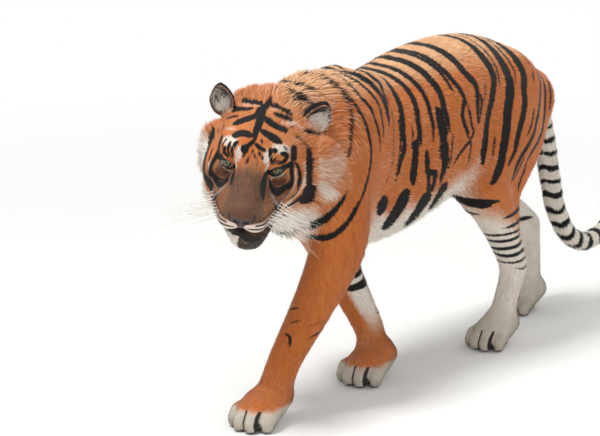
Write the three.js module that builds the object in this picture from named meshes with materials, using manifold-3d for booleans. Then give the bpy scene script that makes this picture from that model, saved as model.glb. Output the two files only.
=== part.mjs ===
// A Sumatran tiger in mid walk, life size. Millimetres, +Z up, the floor at z = 0.
// The tiger faces -Y, its left side is +X, and its head is lowered and turned to its left.
// The body is a soft union of a profiled trunk, tapered limbs and rounded masses. Each named piece is
// a loft whose rings reach out from an axis to that union's surface, and is cut clear of its neighbours.
import * as THREE from "three";
import Module from "manifold-3d";

const wasm = await Module();
wasm.setup();

// ---- driving dimensions ----
const gap = 0.3; // clear space between neighbouring pieces
const grow = 0.35; // how much larger a cutting copy is than its piece
const withersTop = 753;
const backTop = 790;
const brisketHeight = 350;
const flankHeight = 450;
const chestHalfWidth = 156;
const headYaw = 33;
const headPitch = 18.5;
const headRoll = 8.5;
const eyeSpacing = 108;
const eyeRadius = 17;
const elbowHeight = 372;
const wristHeight = 106;
const kneeHeight = 400;
const hockHeight = 182;
const ankleHeight = 92;
const soleStep = 14; // height of the flat-sided foot of each paw
const soleInset = 7; // how far the sole draws in under it
const webbing = 18; // the most that a leg spreads where it meets the trunk

// How widely two masses blend where they meet.
const blend = {
  neck: 50,
  chest: 60,
  trunk: 50,
  thigh: 30,
  hamstring: 40,
  heel: 20,
  paw: 20,
  toe: 7,
  muzzle: 22,
  socket: 12,
};

// Between the eyes: the origin of the head's own frame (left, forward, up).
const eyeMiddle = [45, -332, 608];

// The trunk from the front of the chest to the rump: y, top, bottom, half width.
const trunkProfile = [
  [-170, withersTop - 68, brisketHeight + 90, 90],
  [-80, withersTop - 13, brisketHeight + 35, 116],
  [40, withersTop, brisketHeight, 130],
  [160, withersTop + 4, brisketHeight, 146],
  [300, backTop - 10, brisketHeight + 32, chestHalfWidth],
  [430, backTop, flankHeight - 20, 145],
  [540, backTop - 12, flankHeight, 130],
  [630, backTop - 48, flankHeight + 32, 112],
  [715, backTop - 118, flankHeight + 82, 82],
];
const trunkRoundness = 2.25;
const chestCap = 90;
const rumpCap = 74;

// Limbs and tubes: rows of x, y, z and radius, joined by a smooth curve.
const neckRows = [
  [33, -225, 596, 98],
  [14, -130, 592, 126],
  [0, -20, 580, 160],
];
const maneRows = [
  [14, -155, 674, 70],
  [3, -80, 674, 74],
  [0, 30, 675, 68],
];
const tailRows = [
  [0, 735, 610, 45],
  [0, 805, 552, 36],
  [4, 842, 470, 31],
  [10, 862, 370, 29],
  [14, 885, 280, 28],
  [18, 930, 205, 27],
  [22, 1000, 165, 26],
  [26, 1075, 175, 24],
  [30, 1135, 220, 18],
];

// Each leg: the flat mass at its top, its shaft, its heel if it is a hind leg, and its paw.
const legs = {
  foreleg_left: {
    mass: [
      [50, 55, 705, 50],
      [82, -20, 630, 75],
      [98, -80, 545, 75],
    ],
    shaft: [
      [86, -78, 570, 70],
      [104, -96, 462, 74],
      [108, -114, 375, 64],
      [86, -165, 265, 51],
      [60, -225, 155, 41],
      [50, -250, 95, 40],
    ],
    paw: { ball: [44, -302], heading: 6, size: 0.95 },
  },
  foreleg_right: {
    mass: [
      [-50, 60, 705, 50],
      [-82, 10, 630, 75],
      [-98, -30, 545, 75],
    ],
    shaft: [
      [-86, -30, 560, 70],
      [-102, 30, 450, 72],
      [-96, 85, 360, 61],
      [-62, 130, 235, 47],
      [-26, 168, 125, 38],
      [-8, 168, 80, 38],
    ],
    paw: { ball: [16, 120], heading: 8, size: 0.94 },
  },
  hindleg_left: {
    mass: [
      [66, 600, 620, 100],
      [90, 545, 550, 113],
      [110, 465, 470, 84],
      [116, 434, 430, 64],
    ],
    shaft: [
      [115, 436, 425, 62],
      [107, 505, 345, 52],
      [92, 572, 245, 36],
      [83, 607, 180, 33],
      [79, 592, 115, 32],
      [77, 574, 60, 36],
    ],
    heel: [
      [98, 550, 330, 26],
      [84, 624, 218, 21],
      [82, 635, 185, 21],
    ],
    hamstring: [
      [46, 715, 585, 66],
      [82, 636, 490, 58],
      [104, 545, 400, 44],
      [102, 535, 340, 36],
    ],
    paw: { ball: [74, 542], heading: 4, size: 0.86 },
  },
  hindleg_right: {
    mass: [
      [-66, 612, 615, 100],
      [-85, 610, 530, 108],
      [-100, 612, 445, 80],
      [-102, 618, 405, 62],
    ],
    shaft: [
      [-102, 622, 400, 60],
      [-94, 715, 328, 50],
      [-82, 815, 255, 36],
      [-74, 880, 198, 34],
      [-68, 884, 130, 34],
      [-64, 872, 68, 37],
    ],
    heel: [
      [-90, 775, 325, 26],
      [-76, 895, 232, 22],
      [-74, 905, 205, 22],
    ],
    hamstring: [
      [-46, 722, 585, 66],
      [-80, 715, 490, 56],
      [-98, 690, 405, 44],
      [-94, 728, 338, 34],
    ],
    paw: { ball: [-60, 840], heading: -2, size: 0.86 },
  },
};
const massFlatness = 0.62;
const hamstringFlatness = 0.8;

// One paw at size 1, about its ball: x to its left, y forward.
const palmRows = [
  [0, -55, 60, 42],
  [0, -15, 46, 46],
  [0, 20, 38, 42],
];
const palmFlatness = 1.28;
const toes = [
  { x: -47, reach: 34, radius: 20.5 },
  { x: -16.5, reach: 56, radius: 22.5 },
  { x: 16.5, reach: 58, radius: 22.5 },
  { x: 47, reach: 36, radius: 20.5 },
];

// The head's masses in its own frame. A "both" mass is mirrored, and soft is the width of its blend.
const skullMasses = [
  { centre: [0, -118, 6], radii: [94, 122, 84], soft: 0 },
  { centre: [36, -40, 26], radii: [44, 50, 34], soft: 25, both: true },
  { centre: [66, -55, -46], radii: [48, 74, 60], soft: 30, both: true },
  { centre: [92, -110, -40], radii: [38, 36, 82], soft: 25, both: true },
  { centre: [66, -85, -110], radii: [44, 42, 54], soft: 25, both: true },
  { centre: [38, -32, -98], radii: [34, 58, 34], soft: 25, both: true },
];

// The ruff's long fur, bunched on the side that the head turns to.
const bunchedRuff = [
  { centre: [148, -98, -44], radii: [54, 33, 92] },
  { centre: [104, -88, -146], radii: [60, 38, 56] },
];
const bridgeRows = [
  [0, -40, -6, 46],
  [0, 30, -22, 40],
  [0, 110, -50, 30],
];
const lipRows = [
  [50, -20, -70, 40],
  [40, 40, -72, 36],
  [27, 96, -72, 29],
];
const jawRows = [
  [0, -90, -106, 62],
  [6, 14, -122, 48],
  [12, 74, -132, 31],
];
const jawFlatness = 1.32;
const eyeDepth = 8;
const eyeSocket = { centre: [60, 10, 2], radii: [23, 22, 15] };
const nosePad = { centre: [0, 128, -55], radii: [25, 16, 15] };
const ears = {
  ear_left: { base: [112, -124, 36], tip: [144, -139, 114], open: [0.35, 0.93, 0], size: 1.12 },
  ear_right: { base: [-86, -125, 52], tip: [-102, -138, 120], open: [-0.1, 0.98, 0.05], size: 1 },
};
const earOuter = { centre: [0, -4, -4], radii: [30, 18, 40] };
const earInner = { centre: [0, 13, -4], radii: [23.5, 20, 32.5] };

const coatOrange = 0xc9763a;
const coatPale = 0xe6ddcc;
const coatDark = 0x2a211b;

// ---- small vector helpers on plain arrays ----
const along = (p, d, t) => [p[0] + d[0] * t, p[1] + d[1] * t, p[2] + d[2] * t];
const minus = (a, b) => [a[0] - b[0], a[1] - b[1], a[2] - b[2]];
const dot = (a, b) => a[0] * b[0] + a[1] * b[1] + a[2] * b[2];
const mix = (a, b, t) => a.map((value, i) => value + (b[i] - value) * t);
const cross = (a, b) => [
  a[1] * b[2] - a[2] * b[1],
  a[2] * b[0] - a[0] * b[2],
  a[0] * b[1] - a[1] * b[0],
];
const unit = (a) => {
  const length = Math.hypot(...a);
  return a.map((value) => value / length);
};
const rad = (degrees) => (degrees * Math.PI) / 180;
const clamp01 = (value) => Math.min(Math.max(value, 0), 1);

// ---- the union's building blocks: each is a function of a point, negative inside ----
function softMin(a, b, width) {
  if (width === 0) return Math.min(a, b);
  const h = Math.max(width - Math.abs(a - b), 0) / width;
  return Math.min(a, b) - (h * h * width) / 4;
}

const softMax = (a, b, width) => -softMin(-a, -b, width);

// A Catmull-Rom curve through the rows, with a few steps to each row.
function resample(rows, steps) {
  const first = rows[0].map((value, i) => 2 * value - rows[1][i]);
  const last = rows.at(-1).map((value, i) => 2 * value - rows.at(-2)[i]);
  const all = [first, ...rows, last];
  const out = [];
  for (let i = 0; i < rows.length - 1; i++) {
    const [a, b, c, d] = all.slice(i, i + 4);
    for (let step = 0; step < steps; step++) {
      const t = step / steps;
      const value = (k) =>
        0.5 *
        (2 * b[k] +
          (c[k] - a[k]) * t +
          (2 * a[k] - 5 * b[k] + 4 * c[k] - d[k]) * t * t +
          (3 * b[k] - a[k] - 3 * c[k] + d[k]) * t * t * t);
      out.push([0, 1, 2, 3].map(value));
    }
  }
  out.push(rows.at(-1));
  return out;
}

// A tapered tube along the rows, thinner or wider in x by its flatness.
function tube(rows, flatness = 1) {
  const line = resample(rows, 4);
  const spans = line.slice(1).map((end, i) => {
    const start = line[i];
    const step = minus(end, start);
    return { start, step, square: dot(step, step), taper: end[3] - start[3] };
  });
  return (p) => {
    let best = Infinity;
    for (const { start, step, square, taper } of spans) {
      const offset = minus(p, start);
      const t = clamp01(dot(offset, step) / square);
      const side = (offset[0] - step[0] * t) / flatness;
      const rest = Math.hypot(side, offset[1] - step[1] * t, offset[2] - step[2] * t);
      best = Math.min(best, rest - start[3] - taper * t);
    }
    return best;
  };
}

function ellipsoid({ centre, radii }) {
  return (p) => {
    const q = minus(p, centre).map((value, i) => value / radii[i]);
    const reach = Math.hypot(...q);
    const slope = Math.hypot(q[0] / radii[0], q[1] / radii[1], q[2] / radii[2]);
    return (reach * (reach - 1)) / Math.max(slope, 1e-6);
  };
}

const mirrored = (field) => (p) => field([Math.abs(p[0]), p[1], p[2]]);

// The profile's top, bottom and half width at y, by a cubic through its rows.
function profileAt(y) {
  const rows = trunkProfile;
  const at = Math.min(Math.max(y, rows[0][0]), rows.at(-1)[0]);
  const next = Math.max(rows.findIndex((row) => row[0] >= at), 1);
  const i = next - 1;
  const span = rows[next][0] - rows[i][0];
  const t = (at - rows[i][0]) / span;
  const slope = (n, k) => {
    const before = Math.max(n - 1, 0);
    const after = Math.min(n + 1, rows.length - 1);
    return (rows[after][k] - rows[before][k]) / (rows[after][0] - rows[before][0]);
  };
  return [1, 2, 3].map((k) => {
    const start = rows[i][k] * (2 * t ** 3 - 3 * t ** 2 + 1);
    const end = rows[next][k] * (3 * t ** 2 - 2 * t ** 3);
    const lean = slope(i, k) * (t ** 3 - 2 * t ** 2 + t) + slope(next, k) * (t ** 3 - t ** 2);
    return start + end + lean * span;
  });
}

function trunkField(p) {
  const [top, bottom, half] = profileAt(p[1]);
  const middle = (top + bottom) / 2;
  const height = (top - bottom) / 2;
  const front = Math.max(trunkProfile[0][0] - p[1], 0) / chestCap;
  const back = Math.max(p[1] - trunkProfile.at(-1)[0], 0) / rumpCap;
  const power = trunkRoundness;
  const sum =
    Math.abs(p[0] / half) ** power + Math.abs((p[2] - middle) / height) ** power + (front + back) ** power;
  return (sum ** (1 / power) - 1) * Math.min(half, height) * 0.95;
}

const neckTube = tube(neckRows, 0.8);
const maneTube = tube(maneRows, 0.9);
const shoulders = [legs.foreleg_left, legs.foreleg_right].map((leg) => tube(leg.mass, massFlatness));
const seats = [legs.hindleg_left, legs.hindleg_right].map((leg) =>
  tube(leg.hamstring.slice(0, 2), hamstringFlatness),
);

// Trunk, neck, shoulder blades and the seat of each thigh as one.
function torsoField(p) {
  const neck = softMin(neckTube(p), maneTube(p), blend.neck);
  const body = softMin(trunkField(p), neck, blend.chest);
  return [...shoulders, ...seats].reduce(
    (joined, mass) => softMin(joined, mass(p), blend.trunk),
    body,
  );
}

// A paw's palm and four toes. Below the step its outline stays as it is there, down to the sole.
function pawField({ ball, heading, size }) {
  const forward = [Math.sin(rad(heading)), -Math.cos(rad(heading))];
  const palm = tube(palmRows, palmFlatness);
  const fingers = toes.map(({ x, reach, radius }) =>
    tube(
      [
        [x * 0.8, 0, 40, radius * 1.05],
        [x, reach - 12, 36, radius * 1.12],
        [x * 1.02, reach + 4, 22, radius],
      ],
      0.92,
    ),
  );
  return (p) => {
    const dx = (p[0] - ball[0]) / size;
    const dy = (p[1] - ball[1]) / size;
    const q = [
      -dx * forward[1] + dy * forward[0],
      dx * forward[0] + dy * forward[1],
      Math.max(p[2], soleStep) / size,
    ];
    return fingers.reduce((joined, finger) => softMin(joined, finger(q), blend.toe), palm(q)) * size;
  };
}

// A leg below the torso. A foreleg's flat mass, the shoulder blade, belongs to the torso instead.
function legField(leg) {
  const shaft = tube(leg.shaft);
  const paw = pawField(leg.paw);
  const hind = leg.heel && {
    mass: tube(leg.mass, massFlatness),
    heel: tube(leg.heel),
    hamstring: tube(leg.hamstring, hamstringFlatness),
  };
  return (p) => {
    let joined = shaft(p);
    if (hind) {
      joined = softMin(joined, hind.mass(p), blend.thigh);
      joined = softMin(joined, hind.hamstring(p), blend.hamstring);
      joined = softMin(joined, hind.heel(p), blend.heel);
    }
    return softMin(joined, paw(p), blend.paw);
  };
}

// ---- the head's frame: unit vectors to its left, forward and up ----
function headFrame() {
  const yaw = rad(headYaw);
  const pitch = rad(headPitch);
  const roll = rad(headRoll);
  const forward = [
    Math.sin(yaw) * Math.cos(pitch),
    -Math.cos(yaw) * Math.cos(pitch),
    -Math.sin(pitch),
  ];
  const level = [Math.cos(yaw), Math.sin(yaw), 0];
  const raised = cross(level, forward).map((value) => -value);
  const left = level.map((value, i) => value * Math.cos(roll) - raised[i] * Math.sin(roll));
  const up = raised.map((value, i) => value * Math.cos(roll) + level[i] * Math.sin(roll));
  return { left, forward, up };
}

const headAxes = headFrame();

// A point of the head's frame in the body's.
function fromHead(q) {
  return along(
    along(along(eyeMiddle, headAxes.left, q[0]), headAxes.forward, q[1]),
    headAxes.up,
    q[2],
  );
}

const skullParts = skullMasses.map((mass) => ({
  soft: mass.soft,
  field: mass.both ? mirrored(ellipsoid(mass)) : ellipsoid(mass),
}));
const bridgeTube = tube(bridgeRows, 1.12);
const lipTube = mirrored(tube(lipRows, 1.05));
const socketField = mirrored(ellipsoid(eyeSocket));
const jawField = tube(jawRows, jawFlatness);

// Skull, ruff, bridge of the nose and upper lips, with the eye sockets sunk in.
function headField(q) {
  let joined = Infinity;
  for (const { field, soft } of skullParts) {
    joined = joined === Infinity ? field(q) : softMin(joined, field(q), soft);
  }
  joined = softMin(joined, bridgeTube(q), blend.muzzle);
  joined = softMin(joined, lipTube(q), blend.muzzle);
  return softMax(joined, -socketField(q), blend.socket);
}

// ---- lofts ----
const searchStep = 4;
const searchEnd = 600;
const halvings = 20;

// The distance from an inner point, along a direction, to where the field turns positive.
function reachOut(field, from, direction) {
  let inside = 0;
  let outside = searchStep;
  while (field(along(from, direction, outside)) < 0 && outside < searchEnd) {
    inside = outside;
    outside += searchStep;
  }
  for (let i = 0; i < halvings; i++) {
    const middle = (inside + outside) / 2;
    if (field(along(from, direction, middle)) < 0) inside = middle;
    else outside = middle;
  }
  return inside;
}

function solidFrom(points, faces) {
  const mesh = new wasm.Mesh({
    numProp: 3,
    vertProperties: new Float32Array(points.flat()),
    triVerts: new Uint32Array(faces.flat()),
  });
  const solid = new wasm.Manifold(mesh);
  if (solid.volume() > 0) return solid;
  return solidFrom(
    points,
    faces.map(([a, b, c]) => [a, c, b]),
  );
}

// Rings of a closed loft, each with a centre, two directions across and, if wanted, an inset. A pole
// is a point past the first or last ring, where the end is round. Other ends are flat.
function loft(reach, rings, sides, { firstPole, lastPole, place = (p) => p, extra = 0 } = {}) {
  const points = [];
  for (const { centre, across, upward, inset = 0 } of rings) {
    for (let side = 0; side < sides; side++) {
      const angle = (2 * Math.PI * side) / sides;
      const direction = across.map(
        (value, i) => value * Math.cos(angle) + upward[i] * Math.sin(angle),
      );
      const distance = reach(centre, direction) + extra - inset;
      points.push(place(along(centre, direction, distance)));
    }
  }
  const faces = [];
  for (let ring = 0; ring < rings.length - 1; ring++) {
    for (let side = 0; side < sides; side++) {
      const a = ring * sides + side;
      const b = ring * sides + ((side + 1) % sides);
      faces.push([a, b, b + sides], [a, b + sides, a + sides]);
    }
  }
  const lastRing = (rings.length - 1) * sides;
  const firstHub = points.push(place(firstPole ?? rings[0].centre)) - 1;
  const lastHub = points.push(place(lastPole ?? rings.at(-1).centre)) - 1;
  for (let side = 0; side < sides; side++) {
    const next = (side + 1) % sides;
    faces.push([firstHub, next, side], [lastHub, lastRing + side, lastRing + next]);
  }
  return solidFrom(points, faces);
}

const evenly = (from, to, count) =>
  Array.from({ length: count }, (_, i) => from + ((to - from) * i) / (count - 1));

// Cuts the others away and keeps the largest body.
function cutClear(solid, ...others) {
  const left = others.reduce((rest, other) => rest.subtract(other), solid);
  const bodies = left.decompose();
  return bodies.reduce((largest, body) => (body.volume() > largest.volume() ? body : largest));
}

// ---- trunk and neck: rings across the body ----
function torsoRing(y) {
  const [top, bottom] = profileAt(y);
  const toNeck = clamp01((-60 - y) / 165);
  return {
    centre: mix([0, y, (top + bottom) / 2], [32, y, 600], toNeck),
    across: [1, 0, 0],
    upward: [0, 0, 1],
  };
}

const torsoReach = (centre, direction) => reachOut(torsoField, centre, direction);

const neckFront = -262;
const neckBack = -62;
const shoulderBack = 128;
const loinFront = 430;
const rumpEnd = 788;
const torsoSides = 20;
const torsoLengths = {
  neck: {
    stations: evenly(neckFront, neckBack - gap, 7),
    firstPole: [36, neckFront - 40, 598],
  },
  trunk_front: { stations: evenly(neckBack, shoulderBack - gap, 6) },
  trunk_middle: { stations: evenly(shoulderBack, loinFront - gap, 7) },
  trunk_rear: {
    stations: [...evenly(loinFront, 700, 6), 732, 758, 776, rumpEnd],
    lastPole: [0, rumpEnd + 8, 590],
  },
};

// One length of the torso, or the slightly larger shape that cuts its neighbours clear of it.
function torsoLength({ stations, firstPole, lastPole }, extra = 0) {
  const moved = [...stations];
  if (!firstPole) moved[0] -= extra;
  if (!lastPole) moved[moved.length - 1] += extra;
  return loft(torsoReach, moved.map(torsoRing), torsoSides, {
    firstPole: firstPole && along(firstPole, [0, -1, 0], extra),
    lastPole: lastPole && along(lastPole, [0, 1, 0], extra),
    extra,
  });
}

const trunkPieces = {};
const torsoCutters = [];
for (const [name, length] of Object.entries(torsoLengths)) {
  trunkPieces[name] = torsoLength(length);
  torsoCutters.push(torsoLength(length, grow));
}

// ---- head: rings across its own forward axis ----
function headRing(forward) {
  const height = -30 - Math.max(forward, 0) * 0.3;
  return { centre: [0, forward, height], across: [1, 0, 0], upward: [0, 0, 1] };
}

const headReach = (centre, direction) => reachOut(headField, centre, direction);
const jawReach = (centre, direction) => reachOut(jawField, centre, direction);
const headSides = 24;
const headStations = [
  -178,
  -162,
  ...evenly(-148, -60, 6),
  -38,
  ...evenly(-14, 14, 3),
  ...evenly(36, 112, 4),
  128,
];

function headWhole(extra) {
  const [back, ...rest] = headStations;
  const skull = loft(headReach, [back - extra, ...rest].map(headRing), headSides, {
    lastPole: [0, 137 + extra, -62],
    place: fromHead,
    extra,
  });
  const tufts = bunchedRuff.map(({ centre, radii }) => ball(centre, radii, extra, fromHead));
  return tufts.reduce((joined, tuft) => joined.add(tuft), skull);
}

function jawLoft(extra) {
  const rings = evenly(-100 - extra, 98, 7).map((forward) => ({
    centre: [clamp01(forward / 80) * 9, forward, -126],
    across: [1, 0, 0],
    upward: [0, 0, 1],
  }));
  return loft(jawReach, rings, 14, {
    lastPole: [10, 104 + extra, -132],
    place: fromHead,
    extra,
  });
}

// A closed ball of the given radii about a centre, placed by a function.
function ball(centre, radii, extra, place) {
  const rings = evenly(-0.86, 0.86, 6).map((level) => {
    const angle = (Math.asin(level) + Math.PI / 2) / Math.PI;
    const height = -Math.cos(angle * Math.PI);
    return { height, width: Math.sqrt(1 - height * height) };
  });
  const [a, b, c] = radii.map((value) => value + extra);
  const stations = rings.map(({ height, width }) => ({
    centre: [centre[0], centre[1] + height * b, centre[2]],
    across: [a * width, 0, 0],
    upward: [0, 0, c * width],
  }));
  return loft(() => 1, stations, 12, {
    firstPole: [centre[0], centre[1] - b, centre[2]],
    lastPole: [centre[0], centre[1] + b, centre[2]],
    place,
  });
}

const eyeBall = (side, extra) =>
  ball([(side * eyeSpacing) / 2, -eyeDepth, 0], [eyeRadius, eyeRadius, eyeRadius], extra, fromHead);
const noseBall = (extra) => ball(nosePad.centre, nosePad.radii, extra, fromHead);

// An ear: a cup with its axis from base to tip, open to the front.
function earCup({ base, tip, open, size }) {
  const up = unit(minus(tip, base));
  const facing = unit(along(open, up, -dot(open, up)));
  const side = cross(up, facing);
  const middle = mix(base, tip, 0.5);
  const place = (q) =>
    fromHead(along(along(along(middle, side, q[0] * size), facing, q[1] * size), up, q[2] * size));
  const outer = ball(earOuter.centre, earOuter.radii, 0, place);
  return outer.subtract(ball(earInner.centre, earInner.radii, 0, place));
}

const headCutter = headWhole(grow);
const jawCutter = jawLoft(grow);
const headPieces = {
  head: cutClear(headWhole(0), eyeBall(1, gap), eyeBall(-1, gap), noseBall(gap)),
  eye_left: eyeBall(1, 0),
  eye_right: eyeBall(-1, 0),
  nose: noseBall(0),
  jaw: cutClear(jawLoft(0), headCutter),
};
for (const [name, ear] of Object.entries(ears)) {
  headPieces[name] = cutClear(earCup(ear), headCutter, ...torsoCutters);
}
trunkPieces.neck = cutClear(trunkPieces.neck, headCutter, jawCutter);

// ---- tail: rings across its curve ----
const tailLine = resample(tailRows, 3);
const tailLengths = {
  tail_base: [2, 9],
  tail_middle: [9, 17],
  tail_tip: [17, tailLine.length - 1],
};

function tailRing(index, extra) {
  const before = tailLine[Math.max(index - 1, 0)].slice(0, 3);
  const after = tailLine[Math.min(index + 1, tailLine.length - 1)].slice(0, 3);
  const [x, y, z, radius] = tailLine[index];
  const heading = unit(minus(after, before));
  const across = unit(along([1, 0, 0], heading, -heading[0]));
  return {
    centre: [x, y, z],
    radius,
    heading,
    across: across.map((value) => value * (radius + extra)),
    upward: cross(heading, across).map((value) => value * (radius + extra)),
  };
}

function tailLength(name, extra = 0) {
  const [from, to] = tailLengths[name];
  const rings = Array.from({ length: to - from + 1 }, (_, i) => tailRing(from + i, extra));
  const [first] = rings;
  const last = rings.at(-1);
  if (name !== "tail_base") first.centre = along(first.centre, first.heading, gap);
  const tip = along(last.centre, last.heading, last.radius * 0.8);
  return loft(() => 1, rings, 10, name === "tail_tip" ? { lastPole: tip } : {});
}

const tailCutter = tailLength("tail_base", grow);
const tailPieces = {
  tail_base: cutClear(tailLength("tail_base"), ...torsoCutters),
  tail_middle: tailLength("tail_middle"),
  tail_tip: tailLength("tail_tip"),
};

// ---- legs: level rings from the paw up ----
// The shaft's centre at a height.
function shaftAt(line, height) {
  const next = line.findIndex((row) => row[2] <= height);
  if (next <= 0) return next === 0 ? line[0] : line.at(-1);
  const above = line[next - 1];
  const below = line[next];
  return mix(above, below, (above[2] - height) / (above[2] - below[2]));
}

function legPieces(name, leg) {
  const own = legField(leg);
  const line = resample(leg.shaft, 4);
  const { ball: [ballX, ballY], heading, size } = leg.paw;
  const hind = Boolean(leg.heel);
  const top = hind ? kneeHeight : elbowHeight;
  const foot = hind ? ankleHeight : wristHeight;
  const pawBack = [ballX - Math.sin(rad(heading)) * 8 * size, ballY + Math.cos(rad(heading)) * 8 * size];
  const massTop = leg.mass[0];

  // Where the leg meets the trunk it spreads into it, by no more than its webbing.
  const reach = (centre, direction) => {
    const bare = reachOut(own, centre, direction);
    if (centre[2] < brisketHeight - blend.trunk) return bare;
    const joined = (p) => softMin(own(p), torsoField(p), blend.trunk);
    return Math.min(reachOut(joined, centre, direction), bare + webbing);
  };
  const ringAt = (height) => {
    let centre = shaftAt(line, height).slice(0, 2);
    if (height < foot) centre = mix(pawBack, centre, clamp01((height - 30) / (foot - 30)));
    if (height > line[0][2]) {
      const rise = (height - line[0][2]) / (massTop[2] - line[0][2]);
      centre = hind ? mix(centre, massTop.slice(0, 2), clamp01(rise)) : centre;
    }
    const inset = soleInset * Math.max(1 - height / soleStep, 0) ** 2;
    return { centre: [...centre, height], across: [1, 0, 0], upward: [0, 1, 0], inset };
  };
  const stack = (levels, sides, options) => loft(reach, levels.map(ringAt), sides, options);
  const domed = (from, [x, y, z, radius], count) => {
    const dome = [35, 60, 78].map((angle) => z + radius * Math.sin(rad(angle)));
    return { levels: [...evenly(from, z, count), ...dome], lastPole: [x, y, z + radius] };
  };

  const pawLevels = [0, 4, soleStep, 26, 38, 52, 70, foot - gap];
  const pieces = {};
  pieces[name + "_paw"] = stack(pawLevels, 20);
  if (hind) {
    const { levels, lastPole } = domed(top, massTop, 7);
    pieces[name + "_metatarsus"] = stack(evenly(foot, hockHeight - gap, 5), 12);
    pieces[name + "_shank"] = stack(evenly(hockHeight, top - gap, 7), 14);
    const thigh = stack(levels, 18, { lastPole });
    pieces[name + "_thigh"] = cutClear(thigh, ...torsoCutters, tailCutter);
  } else {
    const { levels, lastPole } = domed(top, leg.shaft[0], 6);
    const forearm = stack(evenly(foot, top - gap, 7), 14);
    pieces[name + "_forearm"] = cutClear(forearm, ...torsoCutters);
    const upper = stack(levels, 16, { lastPole });
    pieces[name + "_upper"] = cutClear(upper, ...torsoCutters, headCutter, jawCutter);
  }
  return pieces;
}

// ---- the scene graph ----
function meshFrom(name, solid, color, roughness) {
  const { numProp, vertProperties, triVerts } = solid.getMesh();
  const positions = new Float32Array((vertProperties.length / numProp) * 3);
  for (let i = 0; i < positions.length; i++) {
    positions[i] = vertProperties[Math.floor(i / 3) * numProp + (i % 3)];
  }
  const geometry = new THREE.BufferGeometry();
  geometry.setAttribute("position", new THREE.BufferAttribute(positions, 3));
  geometry.setIndex(new THREE.BufferAttribute(triVerts, 1));
  geometry.computeVertexNormals();
  const mesh = new THREE.Mesh(
    geometry,
    new THREE.MeshStandardMaterial({ color, roughness, metalness: 0 }),
  );
  mesh.name = name;
  return mesh;
}

const solids = { ...headPieces, ...trunkPieces, ...tailPieces };
for (const [name, leg] of Object.entries(legs)) {
  Object.assign(solids, legPieces(name, leg));
}

const finishes = {
  eye_left: [0xb9b35a, 0.08],
  eye_right: [0xb9b35a, 0.08],
  nose: [0x8d5a4c, 0.45],
  jaw: [coatPale, 0.85],
  tail_tip: [coatDark, 0.85],
};

const tiger = new THREE.Group();
tiger.name = "tiger";
for (const [name, solid] of Object.entries(solids)) {
  const [color, roughness] = finishes[name] ?? [coatOrange, 0.85];
  tiger.add(meshFrom(name, solid, color, roughness));
}

// The origin is on the floor, under the middle of the animal's own box.
const box = new THREE.Box3().setFromObject(tiger);
tiger.position.set(-(box.min.x + box.max.x) / 2, -(box.min.y + box.max.y) / 2, 0);

const root = new THREE.Group();
root.add(tiger);

export default root;
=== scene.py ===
import math
import time

import bmesh
import bpy
import numpy as np
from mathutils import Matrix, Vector


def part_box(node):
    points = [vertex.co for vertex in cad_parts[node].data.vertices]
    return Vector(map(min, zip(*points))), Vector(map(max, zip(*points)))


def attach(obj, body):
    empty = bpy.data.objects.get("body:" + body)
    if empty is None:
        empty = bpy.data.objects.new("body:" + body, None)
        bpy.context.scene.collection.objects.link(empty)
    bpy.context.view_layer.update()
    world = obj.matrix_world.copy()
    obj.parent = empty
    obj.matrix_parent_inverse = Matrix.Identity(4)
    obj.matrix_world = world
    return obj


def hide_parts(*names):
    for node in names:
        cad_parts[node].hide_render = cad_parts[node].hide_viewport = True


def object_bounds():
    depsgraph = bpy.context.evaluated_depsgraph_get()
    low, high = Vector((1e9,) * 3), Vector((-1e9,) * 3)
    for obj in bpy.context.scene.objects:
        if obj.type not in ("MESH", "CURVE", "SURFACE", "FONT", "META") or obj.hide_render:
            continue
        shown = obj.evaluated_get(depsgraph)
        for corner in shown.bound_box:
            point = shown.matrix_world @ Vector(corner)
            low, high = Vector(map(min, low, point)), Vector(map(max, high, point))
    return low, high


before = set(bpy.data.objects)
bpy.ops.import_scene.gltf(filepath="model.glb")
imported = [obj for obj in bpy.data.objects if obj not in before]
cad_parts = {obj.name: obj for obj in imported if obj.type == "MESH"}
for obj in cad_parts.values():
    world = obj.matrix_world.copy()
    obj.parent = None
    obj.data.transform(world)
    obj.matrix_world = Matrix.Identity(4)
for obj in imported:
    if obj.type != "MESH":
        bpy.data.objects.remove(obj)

# A tiger in mid walk. One skin is drawn out of a soft union of tapered limbs and rounded masses, a little
# inside the solids, and the coat is planted on it as thin tufts. Lengths are in metres, markings in mm.

started = time.time()
cadBox = [list(map(float, corner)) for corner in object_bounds()]
random = np.random.default_rng(7)
farAway = 0.5


def report(stage):
    print(f"{time.time() - started:6.1f} s  {stage}")


# distances are negative inside, and the two soft ones round the join over a given width
def softMin(a, b, width):
    h = np.maximum(width - np.abs(a - b), 0) / width
    return np.minimum(a, b) - h * h * width * 0.25


def softMax(a, b, width):
    return -softMin(-a, -b, width)


def ramp(low, high, value):
    t = np.clip((value - low) / (high - low), 0, 1)
    return t * t * (3 - 2 * t)


def mixed(a, b, share):
    return a + (b - a) * share


def unit(vectors):
    vectors = np.asarray(vectors, float)
    return vectors / np.maximum(np.linalg.norm(vectors, axis=-1, keepdims=True), 1e-12)


def leftOnly(local):
    return np.abs(local * (1, 0, 0)) + local * (0, 1, 1)        # both sides of the head folded onto its left


def mirrored(place, side):
    return np.array(place) * (side, 1, 1)


def curveThrough(rows, steps):
    rows = np.array(rows, float)
    rows = np.vstack([2 * rows[0] - rows[1], rows, 2 * rows[-1] - rows[-2]])
    out = []
    for a, b, c, d in zip(rows, rows[1:], rows[2:], rows[3:]):
        for t in np.arange(steps) / steps:
            bend = (2 * a - 5 * b + 4 * c - d) * t * t + (3 * b - a - 3 * c + d) * t ** 3
            out.append(0.5 * (2 * b + (c - a) * t + bend))
    return np.array(out + [rows[-2]])


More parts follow.
